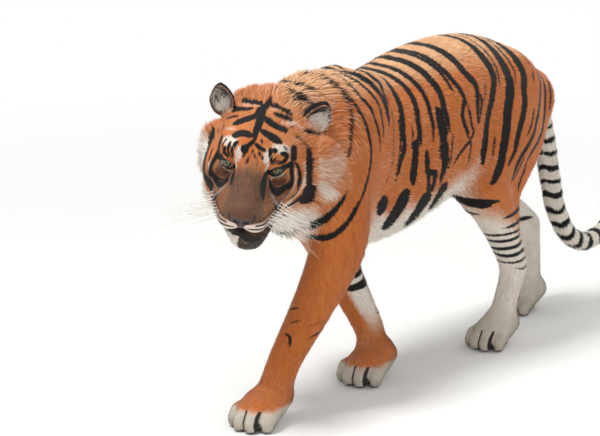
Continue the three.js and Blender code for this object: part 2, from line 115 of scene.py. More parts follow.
def tube(points, rows, flatness=1.0, steps=4, reach=0.09):
    rows = curveThrough(rows, steps)
    low = (rows[:, :3] - rows[:, 3:]).min(0) - reach
    high = (rows[:, :3] + rows[:, 3:]).max(0) + reach
    near = np.flatnonzero(((points > low) & (points < high)).all(1))
    close = points[near]
    best = np.full(len(close), farAway)
    for start, end in zip(rows, rows[1:]):
        span = end[:3] - start[:3]
        offset = close - start[:3]
        t = np.clip(offset @ span / (span @ span), 0, 1)
        rest = offset - t[:, None] * span
        rest[:, 0] /= flatness
        best = np.minimum(best, np.sqrt((rest * rest).sum(1)) - mixed(start[3], end[3], t))
    out = np.full(len(points), farAway)
    out[near] = best
    return out


def ellipsoid(points, centre, radii, reach=0.09):
    radii = np.array(radii)
    near = np.flatnonzero((np.abs(points - centre) < radii + reach).all(1))
    q = (points[near] - centre) / radii
    size = np.sqrt((q * q).sum(1))
    slope = np.sqrt(((q / radii) ** 2).sum(1))
    out = np.full(len(points), farAway)
    out[near] = size * (size - 1) / np.maximum(slope, 1e-9)
    return out


def throughRows(x, rows):
    rows = np.array(rows, float)
    xs, ys = rows[:, 0], rows[:, 1:]
    slopes = np.gradient(ys, xs, axis=0)
    x = np.clip(x, xs[0], xs[-1])
    i = np.clip(np.searchsorted(xs, x) - 1, 0, len(xs) - 2)
    span = (xs[i + 1] - xs[i])[:, None]
    t = (x - xs[i])[:, None] / span
    held = (2 * t ** 3 - 3 * t ** 2 + 1) * ys[i] + (3 * t ** 2 - 2 * t ** 3) * ys[i + 1]
    return held + span * ((t ** 3 - 2 * t ** 2 + t) * slopes[i] + (t ** 3 - t ** 2) * slopes[i + 1])


# the trunk's rows are y, top, bottom and half width; every other row is x, y, z and radius
trunk = {
    "rows": [(-0.17, 0.685, 0.44, 0.090), (-0.08, 0.740, 0.385, 0.116), (0.04, 0.753, 0.350, 0.130),
             (0.16, 0.757, 0.350, 0.146), (0.30, 0.780, 0.382, 0.156), (0.43, 0.790, 0.430, 0.145),
             (0.54, 0.778, 0.450, 0.130), (0.63, 0.742, 0.482, 0.112), (0.715, 0.672, 0.532, 0.082)],
    "squareness": 2.25,
    "endLengths": (0.09, 0.074),
    "reach": [(-0.27, 0.27), (-0.33, 0.98), (0.25, 0.92)],
    "neck": [(0.033, -0.225, 0.596, 0.098), (0.014, -0.130, 0.592, 0.126), (0.0, -0.020, 0.580, 0.160)],
    "nape": [(0.014, -0.155, 0.674, 0.070), (0.003, -0.080, 0.674, 0.074), (0.0, 0.030, 0.675, 0.068)],
    "neckFlatness": 0.80, "napeFlatness": 0.9,
    "tail": [(0, 0.735, 0.610, 0.045), (0.0, 0.805, 0.552, 0.036), (0.004, 0.842, 0.470, 0.031),
             (0.010, 0.862, 0.370, 0.029), (0.014, 0.885, 0.280, 0.028), (0.018, 0.930, 0.205, 0.027),
             (0.022, 1.000, 0.165, 0.026), (0.026, 1.075, 0.175, 0.024), (0.030, 1.135, 0.220, 0.018)],
}

# each leg: its chain down to the wrist or heel, its flat upper mass, extra muscle (rows, flatness, blend),
# and the paw's middle, heading in degrees and size
legs = {
    "foreLeft": {
        "chain": [
            (0.086, -0.078, 0.570, 0.070), (0.104, -0.096, 0.462, 0.074), (0.108, -0.114, 0.375, 0.064),
            (0.086, -0.165, 0.265, 0.051), (0.060, -0.225, 0.155, 0.041), (0.050, -0.250, 0.095, 0.040),
        ],
        "upper": [
            (0.050, 0.055, 0.705, 0.050), (0.082, -0.020, 0.630, 0.075), (0.098, -0.080, 0.545, 0.075),
        ],
        "muscle": [],
        "paw": ((0.044, -0.302), 6, 0.95),
    },
    "foreRight": {
        "chain": [
            (-0.086, -0.030, 0.560, 0.070), (-0.102, 0.030, 0.450, 0.072), (-0.096, 0.085, 0.360, 0.061),
            (-0.062, 0.130, 0.235, 0.047), (-0.026, 0.168, 0.125, 0.038), (-0.008, 0.168, 0.080, 0.038),
        ],
        "upper": [
            (-0.050, 0.060, 0.705, 0.050), (-0.082, 0.010, 0.630, 0.075), (-0.098, -0.030, 0.545, 0.075),
        ],
        "muscle": [],
        "paw": ((0.016, 0.120), 8, 0.94),
    },
    "hindLeft": {
        "chain": [
            (0.115, 0.436, 0.425, 0.062), (0.107, 0.505, 0.345, 0.052), (0.092, 0.572, 0.245, 0.036),
            (0.083, 0.607, 0.180, 0.033), (0.079, 0.592, 0.115, 0.032), (0.077, 0.574, 0.060, 0.036),
        ],
        "upper": [
            (0.066, 0.600, 0.620, 0.100), (0.090, 0.545, 0.550, 0.113), (0.110, 0.465, 0.470, 0.084),
            (0.116, 0.434, 0.430, 0.064),
        ],
        "muscle": [
            ([
                (0.046, 0.715, 0.585, 0.066), (0.082, 0.636, 0.490, 0.058), (0.104, 0.545, 0.400, 0.044),
                (0.102, 0.535, 0.340, 0.036),
            ], 0.8, 0.04),
            ([
                (0.098, 0.550, 0.330, 0.026), (0.084, 0.624, 0.218, 0.021), (0.082, 0.635, 0.185, 0.021),
            ], 1, 0.02),
        ],
        "paw": ((0.074, 0.542), 4, 0.86),
    },
    "hindRight": {
        "chain": [
            (-0.102, 0.622, 0.400, 0.060), (-0.094, 0.715, 0.328, 0.050), (-0.082, 0.815, 0.255, 0.036),
            (-0.074, 0.880, 0.198, 0.034), (-0.068, 0.884, 0.130, 0.034), (-0.064, 0.872, 0.068, 0.037),
        ],
        "upper": [
            (-0.066, 0.612, 0.615, 0.100), (-0.085, 0.610, 0.530, 0.108), (-0.100, 0.612, 0.445, 0.080),
            (-0.102, 0.618, 0.405, 0.062),
        ],
        "muscle": [
            ([
                (-0.046, 0.722, 0.585, 0.066), (-0.080, 0.715, 0.490, 0.056), (-0.098, 0.690, 0.405, 0.044),
                (-0.094, 0.728, 0.338, 0.034),
            ], 0.8, 0.04),
            ([
                (-0.090, 0.775, 0.325, 0.026), (-0.076, 0.895, 0.232, 0.022), (-0.074, 0.905, 0.205, 0.022),
            ], 1, 0.02),
        ],
        "paw": ((-0.060, 0.840), -2, 0.86),
    },
}
upperFlatness = 0.62

# a paw's own frame is left, forward and up from its middle, for a paw of size 1
paw = {
    "palm": [(0, -0.055, 0.060, 0.042), (0, -0.015, 0.046, 0.046), (0, 0.02, 0.038, 0.042)],
    "palmFlatness": 1.28,
    "toes": [(-0.047, 0.034, 0.0205), (-0.0165, 0.056, 0.0225), (0.0165, 0.058, 0.0225),
             (0.047, 0.036, 0.0205)],        # how far to the left and forward, and how thick
    "toeFlatness": 0.90,
    "toeBlend": 0.005,
    "soleHeight": 0.014,
    "soleRound": 0.010,
}

# the head has its own frame: left, forward and up from a point between the eyes
skull = {
    "middle": (0.045, -0.332, 0.608),
    "reach": 0.36,
    "turn": (33.0, 18.5, 8.5),        # yaw, nod and lean in degrees
    "eyeCentre": (0.054, -0.008, 0.0),
    "eyeRadius": 0.017,
    "eyeSlack": 0.0003,
    "lidThickness": 0.0022,
    "openingHalf": (0.0138, 0.0060),
    "eyeOutward": (0.26, 0.90, 0.34),
    "eyeSlant": 0.20,
    "socket": ((0.060, 0.010, 0.002), (0.023, 0.022, 0.015)),
    "cranium": ((0, -0.118, 0.006), (0.094, 0.122, 0.084)),
    # each mass: where it is, its middle and half sizes, how softly it joins, and 1 where the ruff covers it
    "masses": [
        ("bothSides", (0.036, -0.040, 0.026), (0.044, 0.050, 0.034), 0.025, 0),        # brow
        ("bothSides", (0.066, -0.055, -0.046), (0.048, 0.074, 0.060), 0.030, 0),       # cheek
        ("bothSides", (0.092, -0.110, -0.040), (0.038, 0.036, 0.082), 0.025, 1),
        ("bothSides", (0.066, -0.085, -0.110), (0.044, 0.042, 0.054), 0.025, 1),
        ("bothSides", (0.038, -0.032, -0.098), (0.034, 0.058, 0.034), 0.025, 0),       # corner of the jaw
        ("left", (0.152, -0.096, -0.046), (0.052, 0.032, 0.092), 0.025, 1),
        ("left", (0.106, -0.088, -0.150), (0.058, 0.038, 0.054), 0.025, 1),
    ],
    "bridge": [(0, -0.04, -0.006, 0.046), (0, 0.03, -0.022, 0.040), (0, 0.110, -0.050, 0.030)],
    "lip": [(0.050, -0.02, -0.070, 0.040), (0.040, 0.040, -0.072, 0.036), (0.027, 0.096, -0.072, 0.029)],
    "jaw": [(0, -0.09, -0.106, 0.062), (0.006, 0.014, -0.122, 0.048), (0.012, 0.074, -0.132, 0.031)],
    "flatness": {"bridge": 1.12, "lip": 1.05, "jaw": 1.32},
    "lipGroove": [(0, 0.137, -0.066, 0.0012), (0, 0.130, -0.084, 0.0016), (0, 0.112, -0.104, 0.002)],
}
ears = {
    "left": {"base": (0.112, -0.124, 0.036), "tip": (0.144, -0.139, 0.114), "open": (0.35, 0.93, 0.0),
             "size": 1.12},
    "right": {"base": (-0.086, -0.125, 0.052), "tip": (-0.102, -0.138, 0.120), "open": (-0.10, 0.98, 0.05),
              "size": 1.0},
}
earShell = {"outer": ((0, -0.004, -0.004), (0.030, 0.018, 0.040)),
            "inner": ((0, 0.013, -0.004), (0.0235, 0.020, 0.0325))}
# how deep the coat is over each part: the skin lies this far inside the solids
coatDepth = {"trunk": 0.006, "neck": 0.009, "face": 0.002, "ruff": 0.011, "ear": 0.0014, "leg": 0.004,
             "paw": 0.003, "tail": 0.006}


# how widely each part runs into the next
blends = {
    "bridge": 0.022, "lip": 0.018, "jaw": (0.014, 0.003),        # of the jaw: at its corner and in front
    "groove": 0.004, "socket": 0.012, "lids": 0.006, "opening": 0.0015, "ear": 0.005,
    "thigh": 0.03, "nape": 0.05, "neck": 0.06, "head": 0.035, "ears": 0.012,
    "paw": 0.02, "leg": 0.05, "tail": 0.04,
}


def headAxes():
    yaw, nod, lean = (math.radians(angle) for angle in skull["turn"])
    forward = np.array([math.sin(yaw) * math.cos(nod), -math.cos(yaw) * math.cos(nod), -math.sin(nod)])
    level = np.array([math.cos(yaw), math.sin(yaw), 0.0])
    upright = np.cross(forward, level)
    upright = upright if upright[2] > 0 else -upright
    left = level * math.cos(lean) - upright * math.sin(lean)
    up = upright * math.cos(lean) + level * math.sin(lean)
    return np.stack([left, forward, up])


headFrame = headAxes()
headMiddle = np.array(skull["middle"])
eyeLocal = np.array(skull["eyeCentre"])
# the CAD's own left eye says where this tiger stands in the frame
standsAt = np.mean(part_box("eye_left"), axis=0) - (eyeLocal @ headFrame + headMiddle)


def toHead(points):
    return (points - headMiddle) @ headFrame.T


def fromHead(local):
    return np.asarray(local) @ headFrame + headMiddle


def trunkForm(points):
    out = np.full(len(points), farAway)
    low, high = np.array(trunk["reach"]).T
    near = np.flatnonzero(((points > low) & (points < high)).all(1))
    q = points[near]
    rows, power = trunk["rows"], trunk["squareness"]
    top, bottom, half = throughRows(q[:, 1], rows).T
    tall = (top - bottom) / 2
    past = np.maximum(rows[0][0] - q[:, 1], 0) / trunk["endLengths"][0]
    past += np.maximum(q[:, 1] - rows[-1][0], 0) / trunk["endLengths"][1]
    rise = np.abs((q[:, 2] - (top + bottom) / 2) / tall)
    size = (np.abs(q[:, 0] / half) ** power + rise ** power + past ** power) ** (1 / power)
    out[near] = (size - 1) * np.minimum(half, tall) * 0.95
    return out


def pawForm(points, middle, heading, size):
    angle = math.radians(heading)
    forward = np.array([math.sin(angle), -math.cos(angle)])
    left = np.array([math.cos(angle), math.sin(angle)])
    offset = points[:, :2] - middle
    near = np.flatnonzero((np.abs(offset) < 0.2).all(1) & (points[:, 2] < 0.2))
    offset, height = offset[near], points[near, 2]
    local = np.stack([offset @ left, offset @ forward, np.maximum(height, paw["soleHeight"])], 1)
    foot = tube(local, np.array(paw["palm"]) * size, paw["palmFlatness"], 3)
    for x, reach, thick in paw["toes"]:
        toe = np.array([(x * 0.8, 0, 0.040, thick * 1.05), (x, reach - 0.012, 0.036, thick * 1.10),
                        (x * 1.02, reach + 0.004, 0.022, thick)]) * size
        foot = softMin(foot, tube(local, toe, paw["toeFlatness"], 3), paw["toeBlend"])
    out = np.full(len(points), farAway)
    out[near] = softMax(foot, -height, paw["soleRound"])
    return out


def eyeAxes(side):
    outward = unit(mirrored(skull["eyeOutward"], side))
    across = unit(np.cross(outward, (0, 0, 1)) * side)       # away from the nose
    above = unit(np.cross(across, outward) * side)
    return outward, across, above


def eyeOpening(local, side):
    outward, across, above = eyeAxes(side)
    offset = local - mirrored(eyeLocal, side)
    along = offset @ across
    rise = offset @ above - skull["eyeSlant"] * along
    wide, tall = skull["openingHalf"]
    arc = (wide * wide + tall * tall) / (2 * tall)
    almond = np.maximum(np.hypot(along, rise + arc - tall), np.hypot(along, rise - arc + tall)) - arc
    return almond, offset @ outward


def headForms(points):
    near = np.flatnonzero((np.abs(points - headMiddle) < skull["reach"]).all(1))
    local = toHead(points[near])
    folded = leftOnly(local)
    face = ellipsoid(folded, *skull["cranium"])
    ruffExtra = coatDepth["ruff"] - coatDepth["face"]
    for side, middle, radii, blend, covered in skull["masses"]:
        mass = ellipsoid(folded if side == "bothSides" else local, middle, radii)
        face = softMin(face, mass + covered * ruffExtra, blend)
    bridge, lip, jaw = (tube(folded if name == "lip" else local, skull[name], skull["flatness"][name], 3)
                        for name in ("bridge", "lip", "jaw"))
    face = softMin(softMin(face, bridge, blends["bridge"]), lip, blends["lip"])
    mouth = face - jaw        # positive on the lower jaw, and least at the lips
    atCorner, inFront = blends["jaw"]
    face = softMin(face, jaw, mixed(inFront, atCorner, 1 - ramp(-0.03, 0.03, local[:, 1])))
    face = softMax(face, -tube(local, skull["lipGroove"], 1, 3), blends["groove"])
    face = softMax(face, -ellipsoid(folded, *skull["socket"]), blends["socket"])
    lidRadius = skull["eyeRadius"] + skull["lidThickness"] + coatDepth["face"]
    face = softMin(face, np.linalg.norm(folded - eyeLocal, axis=1) - lidRadius, blends["lids"])
    out = np.full(len(points), farAway)
    out[near] = face + coatDepth["face"]
    for side in (1, -1):
        almond, ahead = eyeOpening(local, side)
        out[near] = softMax(out[near], -np.maximum(almond, -ahead), blends["opening"])
        ball = np.linalg.norm(local - mirrored(eyeLocal, side), axis=1)
        out[near] = np.maximum(out[near], skull["eyeRadius"] + skull["eyeSlack"] - ball)
    lips = np.full(len(points), farAway)
    lips[near] = np.where(local[:, 1] > -0.03, mouth, farAway)
    return out, lips


def earAxes(ear):
    axis = unit(np.array(ear["tip"]) - ear["base"])
    opening = unit(np.array(ear["open"]) - axis * (np.array(ear["open"]) @ axis))
    return np.stack([np.cross(axis, opening), opening, axis])


def earPlace(points, ear):
    middle = (np.array(ear["base"]) + ear["tip"]) / 2
    q = (toHead(points) - middle) @ earAxes(ear).T / ear["size"]
    q[:, 0] *= 1 + 0.38 * ramp(-0.005, 0.042, q[:, 2])       # narrower towards the tip
    return q


def fromEarMiddle(place):        # 1 at the ear's outline
    middle, radii = earShell["outer"]
    return np.hypot(place[:, 0] / radii[0], (place[:, 2] - middle[2]) / radii[2])


def earForm(points, ear):
    out = np.full(len(points), farAway)
    near = np.flatnonzero((np.abs(points - headMiddle) < 0.30).all(1))
    q = earPlace(points[near], ear)
    outer = ellipsoid(q, *earShell["outer"]) + coatDepth["ear"]
    inner = ellipsoid(q, *earShell["inner"]) - coatDepth["ear"]
    out[near] = softMax(outer, -inner, blends["ear"]) * ear["size"]
    return out


def legForm(points, leg):
    form = softMin(tube(points, leg["upper"], upperFlatness), tube(points, leg["chain"]), blends["thigh"])
    for rows, flatness, width in leg["muscle"]:
        form = softMin(form, tube(points, rows, flatness), width)
    return form + coatDepth["leg"]


def partForms(points):
    forms = {"trunk": trunkForm(points) + coatDepth["trunk"]}
    neck, nape = (tube(points, trunk[name], trunk[name + "Flatness"], 3) for name in ("neck", "nape"))
    forms["neck"] = softMin(neck, nape, blends["nape"]) + coatDepth["neck"]
    forms["head"], forms["lips"] = headForms(points)
    forms["earLeft"] = earForm(points, ears["left"])
    forms["earRight"] = earForm(points, ears["right"])
    for name, leg in legs.items():
        forms[name] = legForm(points, leg)
        forms[name + "Paw"] = pawForm(points, *leg["paw"]) + coatDepth["paw"]
    forms["tail"] = tube(points, trunk["tail"], 1, 3) + coatDepth["tail"]
    return forms


def wholeForm(points):
    forms = partForms(points)
    torso = softMin(forms["trunk"], forms["neck"], blends["neck"])
    torso = softMin(torso, forms["head"], blends["head"])
    torso = softMin(torso, np.minimum(forms["earLeft"], forms["earRight"]), blends["ears"])
    whole = torso
    for name in legs:
        limb = softMin(forms[name], forms[name + "Paw"], blends["paw"])
        whole = np.minimum(whole, softMin(torso, limb, blends["leg"]))
    whole = np.minimum(whole, softMin(torso, forms["tail"], blends["tail"]))
    for side in (1, -1):        # the eyes stay open whatever blends over them
        eyeAt = fromHead(mirrored(eyeLocal, side))
        near = np.flatnonzero(np.linalg.norm(points - eyeAt, axis=1) < 0.045)
        almond, ahead = eyeOpening(toHead(points[near]), side)
        whole[near] = np.where(ahead > 0, np.maximum(whole[near], -almond), whole[near])
    return whole


# the skin comes from surface nets on a grid that is finer at the head and paws
skinGrid = {
    "block": 4,
    "pad": 0.014,
    "x": [(0.0040, 9.0)],                     # step, and how far along the axis it is used
    "y": [(0.0034, -0.115), (0.0058, 9.0)],
    "z": [(0.0038, 0.11), (0.0056, 0.42), (0.0044, 9.0)],
    "faceAhead": -0.035,
    "fineByEye": 0.026,
    "fineByNose": 0.034,
}


def gridAxis(low, high, steps):
    marks = [low]
    for step, limit in steps:
        while marks[-1] < min(limit, high):
            marks.append(marks[-1] + step)
    while len(marks) % skinGrid["block"]:
        marks.append(marks[-1] + steps[-1][0])
    return np.array(marks)


def formOnGrid(axes, form):
    block = skinGrid["block"]
    centres = [axis.reshape(-1, block).mean(1) for axis in axes]
    values = form(np.stack(np.meshgrid(*centres, indexing="ij"), -1).reshape(-1, 3))
    spans = [np.ptp(axis.reshape(-1, block), axis=1) for axis in axes]
    reach = np.linalg.norm(np.stack(np.meshgrid(*spans, indexing="ij"), -1), axis=-1)
    full = values.reshape(reach.shape)
    near = np.abs(full) < 0.75 * reach + 0.010
    for axis in range(3):
        full, near = np.repeat(full, block, axis=axis), np.repeat(near, block, axis=axis)
    i, j, k = np.nonzero(near)
    full[near] = form(np.stack([axes[0][i], axes[1][j], axes[2][k]], 1))
    return full


def surfaceNets(axes, form):
    values = formOnGrid(axes, form)
    inside = values < 0
    shape = np.array(values.shape)
    corners = np.array([(a, b, c) for a in (0, 1) for b in (0, 1) for c in (0, 1)])
    count = sum(inside[a:shape[0] - 1 + a, b:shape[1] - 1 + b, c:shape[2] - 1 + c].astype(np.int8)
                for a, b, c in corners)
    crossed = (count > 0) & (count < 8)
    cells = np.argwhere(crossed)
    index = np.full(crossed.shape, -1)
    index[crossed] = np.arange(len(cells))
    atCorner = np.stack([values[tuple((cells + corner).T)] for corner in corners], 1)
    total, share = np.zeros((len(cells), 3)), np.zeros(len(cells))
    for a in range(8):
        for b in range(a + 1, 8):
            if np.abs(corners[a] - corners[b]).sum() != 1:
                continue
            first, second = atCorner[:, a], atCorner[:, b]
            split = (first < 0) != (second < 0)
            t = np.where(split, first / np.where(split, first - second, 1), 0)[:, None]
            total += np.where(split[:, None], corners[a] + t * (corners[b] - corners[a]), 0)
            share += split
    place = cells + total / share[:, None]
    points = np.stack([np.interp(place[:, i], np.arange(shape[i]), axes[i]) for i in range(3)], 1)
    faces = []
    for axis in range(3):
        here = [slice(1, n - 1) for n in shape]
        here[axis] = slice(0, shape[axis] - 1)
        ahead = list(here)
        ahead[axis] = slice(1, shape[axis])
        start, end = inside[tuple(here)], inside[tuple(ahead)]
        edges = np.argwhere(start != end)
        outward = start[tuple(edges.T)]
        edges += 1
        edges[:, axis] -= 1
        quad = []
        for du, dv in ((0, 0), (-1, 0), (-1, -1), (0, -1)):
            cell = edges.copy()
            cell[:, (axis + 1) % 3] += du
            cell[:, (axis + 2) % 3] += dv
            quad.append(index[tuple(cell.T)])
        quad = np.stack(quad, 1)
        quad[~outward] = quad[~outward][:, ::-1]
        faces.append(quad)
    return points, np.vstack(faces)


def settle(points, form, rounds):
    # moves points onto the form, by its slope, a little at a time
    step, longest = 0.0006, 0.002
    for _ in range(rounds):
        grade = np.stack([form(points + offset) - form(points - offset) for offset in np.eye(3) * step], 1)
        grade /= 2 * step
        move = form(points)[:, None] * grade / np.maximum((grade * grade).sum(1, keepdims=True), 0.05)
        points = points - np.clip(move, -longest, longest)
    return points


def placed(name, data):
    thing = bpy.data.objects.new(name, data)
    bpy.context.scene.collection.objects.link(thing)
    return thing


def meshFrom(name, points, faces):
    mesh = bpy.data.meshes.new(name)
    mesh.from_pydata(np.asarray(points).tolist(), [], faces)
    return placed(name, mesh)


def fromVertices(mesh, what):
    out = np.empty(len(mesh.vertices) * 3, np.float32)
    mesh.vertices.foreach_get(what, out)
    return out.reshape(-1, 3).astype(float)


def refine(mesh, keep):
    form = bmesh.new()
    form.from_mesh(mesh)
    chosen = keep(np.array([vertex.co for vertex in form.verts]))
    form.verts.ensure_lookup_table()
    edges = [edge for edge in form.edges if chosen[edge.verts[0].index] and chosen[edge.verts[1].index]]
    bmesh.ops.subdivide_edges(form, edges=edges, cuts=1, use_grid_fill=True)
    bmesh.ops.triangulate(form, faces=[face for face in form.faces if len(face.verts) > 4])
    form.to_mesh(mesh)
    form.free()


low, high = np.array(cadBox) - standsAt
axes = [gridAxis(low[i] - skinGrid["pad"], high[i] + skinGrid["pad"], skinGrid[letter])
        for i, letter in enumerate("xyz")]
points, faces = surfaceNets(axes, wholeForm)
report(f"skin drawn, {len(points)} points")
skin = meshFrom("skin", points, faces.tolist())


def onFace(points):
    local = toHead(points)
    return (local[:, 1] > skinGrid["faceAhead"]) & (np.abs(local[:, 0]) < 0.11) & (np.abs(local[:, 2]) < 0.17)


def nearDetail(points):
    local = toHead(points)
    byEye = np.linalg.norm(leftOnly(local) - eyeLocal - (0, 0.012, 0), axis=1) < skinGrid["fineByEye"]
    byNose = np.linalg.norm(local - (0, 0.120, -0.075), axis=1) < skinGrid["fineByNose"]
    return byEye | byNose


refine(skin.data, onFace)
refine(skin.data, nearDetail)
skinPoints = fromVertices(skin.data, "co")
finePart = onFace(skinPoints)
skinPoints[finePart] = settle(skinPoints[finePart], wholeForm, 3)
skinPoints[~finePart] = settle(skinPoints[~finePart], wholeForm, 1)
skin.data.vertices.foreach_set("co", (skinPoints + standsAt).astype(np.float32).ravel())
skin.data.shade_smooth()
skin.data.update()
report(f"skin settled, {len(skinPoints)} points")


# the markings are strokes, each with a first and a last width in mm
# on the flank a stroke's points are how far back and how high, on the left side
flankMarks = [
    (5, 5, [(-66, 745), (-64, 718), (-72, 685), (-88, 652), (-106, 620), (-130, 592), (-150, 565)]),
    (4, 10, [(-126, 540), (-142, 512), (-160, 484), (-176, 458), (-192, 436), (-210, 418)]),
    (7, 6, [(-56, 745), (-44, 702), (-32, 665), (-30, 622), (-37, 587), (-54, 555), (-80, 527), (-104, 502)]),
    (6, 7, [(-100, 506), (-122, 482), (-145, 454), (-168, 428), (-190, 408), (-212, 396)]),
    (2, 2, [(-84, 520), (-112, 500), (-126, 482), (-140, 462)]),
    (7, 5, [(-18, 765), (-18, 730), (0, 700), (3, 675), (10, 640), (8, 600)]),
    (6, 5, [(8, 760), (14, 745), (28, 722), (38, 700), (36, 675), (32, 650), (24, 620)]),
    (11, 9, [(28, 765), (44, 745), (58, 722), (67, 693), (65, 670), (62, 648)]),
    (8, 6, [(62, 758), (80, 738), (78, 712), (80, 690)]),
    (6, 4, [(104, 660), (98, 620), (90, 580), (80, 545)]),
    (10, 8, [(115, 760), (122, 735), (123, 700), (118, 670), (112, 640), (108, 610), (108, 590), (95, 560),
             (85, 535), (78, 515)]),
    (10, 10, [(140, 765), (158, 735), (168, 700), (165, 665), (160, 640), (158, 612), (150, 600)]),
    (12, 16, [(150, 600), (142, 585), (140, 555), (135, 525), (138, 498)]),
    (6, 6, [(165, 640), (163, 605), (158, 585)]),
    (12, 6, [(175, 775), (190, 745), (203, 705), (205, 675), (204, 650), (205, 620), (200, 585)]),
    (11, 9, [(178, 572), (180, 548), (185, 520), (210, 512), (213, 498), (210, 472), (202, 453)]),
    (8, 6, [(186, 525), (191, 495), (198, 460)]),
    (16, 8, [(225, 782), (238, 745), (250, 705), (252, 685), (250, 655), (255, 632), (258, 605)]),
    (14, 20, [(228, 662), (232, 640), (235, 610), (238, 585)]),
    (20, 9, [(238, 585), (240, 560), (243, 530), (240, 508), (238, 480)]),
    (9, 5, [(268, 778), (282, 740), (290, 705), (296, 685)]),
    (10, 8, [(285, 775), (305, 720), (320, 690), (325, 667), (310, 640), (312, 617), (327, 588), (332, 572)]),
    (6, 6, [(333, 660), (337, 635), (343, 606), (353, 585), (330, 563), (293, 540), (276, 513)]),
    (6, 5, [(342, 570), (345, 545), (345, 520), (343, 500)]),
    (16, 8, [(345, 770), (360, 722), (380, 695), (378, 668), (372, 642), (370, 605)]),
    (7, 5, [(392, 670), (393, 650), (385, 625), (373, 600)]),
    (17, 13, [(450, 760), (463, 705), (452, 672), (436, 645), (420, 618), (412, 592), (408, 560), (402, 525),
              (398, 500)]),
    (20, 14, [(515, 755), (525, 700), (520, 666), (503, 635), (488, 605), (478, 570), (463, 530), (450, 492),
              (428, 468), (410, 452)]),
    (18, 10, [(580, 735), (588, 685), (570, 655), (560, 622), (535, 582), (515, 550), (503, 517),
              (478, 485)]),
    (12, 10, [(670, 690), (676, 660), (668, 630), (642, 600), (612, 565), (588, 535), (553, 510), (523, 484),
              (510, 455), (500, 430)]),
    (6, 5, [(640, 690), (625, 655)]),
    (9, 8, [(722, 655), (712, 622), (698, 580), (680, 540), (650, 513), (590, 485), (568, 460)]),
    (7, 6, [(745, 640), (735, 600), (725, 560)]),
    (7, 5, [(555, 490), (530, 455), (520, 430)]),
    (7, 5, [(580, 460), (560, 430), (548, 400)]),
    (4, 3, [(140, 640), (136, 610), (128, 585)]),
    (4, 3, [(226, 600), (222, 570), (222, 545)]),
    (5, 4, [(268, 600), (266, 565), (262, 530), (256, 505)]),
    (4, 3, [(420, 700), (414, 672), (404, 650)]),
    (5, 4, [(482, 745), (488, 705), (480, 668)]),
    (6, 4, [(548, 745), (556, 700), (545, 668)]),
    (5, 4, [(628, 730), (634, 690)]),
    (6, 4, [(600, 600), (578, 566), (552, 540)]),
    (5, 3, [(440, 560), (432, 530), (424, 505)]),
    (12, 8, [(40, 785), (62, 770)]),
    (12, 8, [(-222, 768), (-212, 748), (-204, 726)]),
    (14, 8, [(-200, 762), (-186, 742), (-176, 716)]),
    (16, 9, [(-178, 752), (-160, 735), (-150, 712)]),
    (13, 7, [(-135, 765), (-120, 742)]),
    (24, 18, [(45, 478), (50, 440)]),
    (26, 26, [(118, 482), (110, 450), (98, 420), (92, 398)]),
    (30, 26, [(198, 456), (190, 420), (178, 388)]),
    (24, 18, [(262, 470), (252, 440), (245, 415)]),
    (14, 8, [(330, 410), (430, 405)]),
]
brownMarks = [
    (6, 5, [(90, 705), (85, 675), (82, 650), (70, 600), (62, 560), (45, 520), (30, 495)]),
    (9, 6, [(280, 440), (280, 420), (268, 400)]),
]
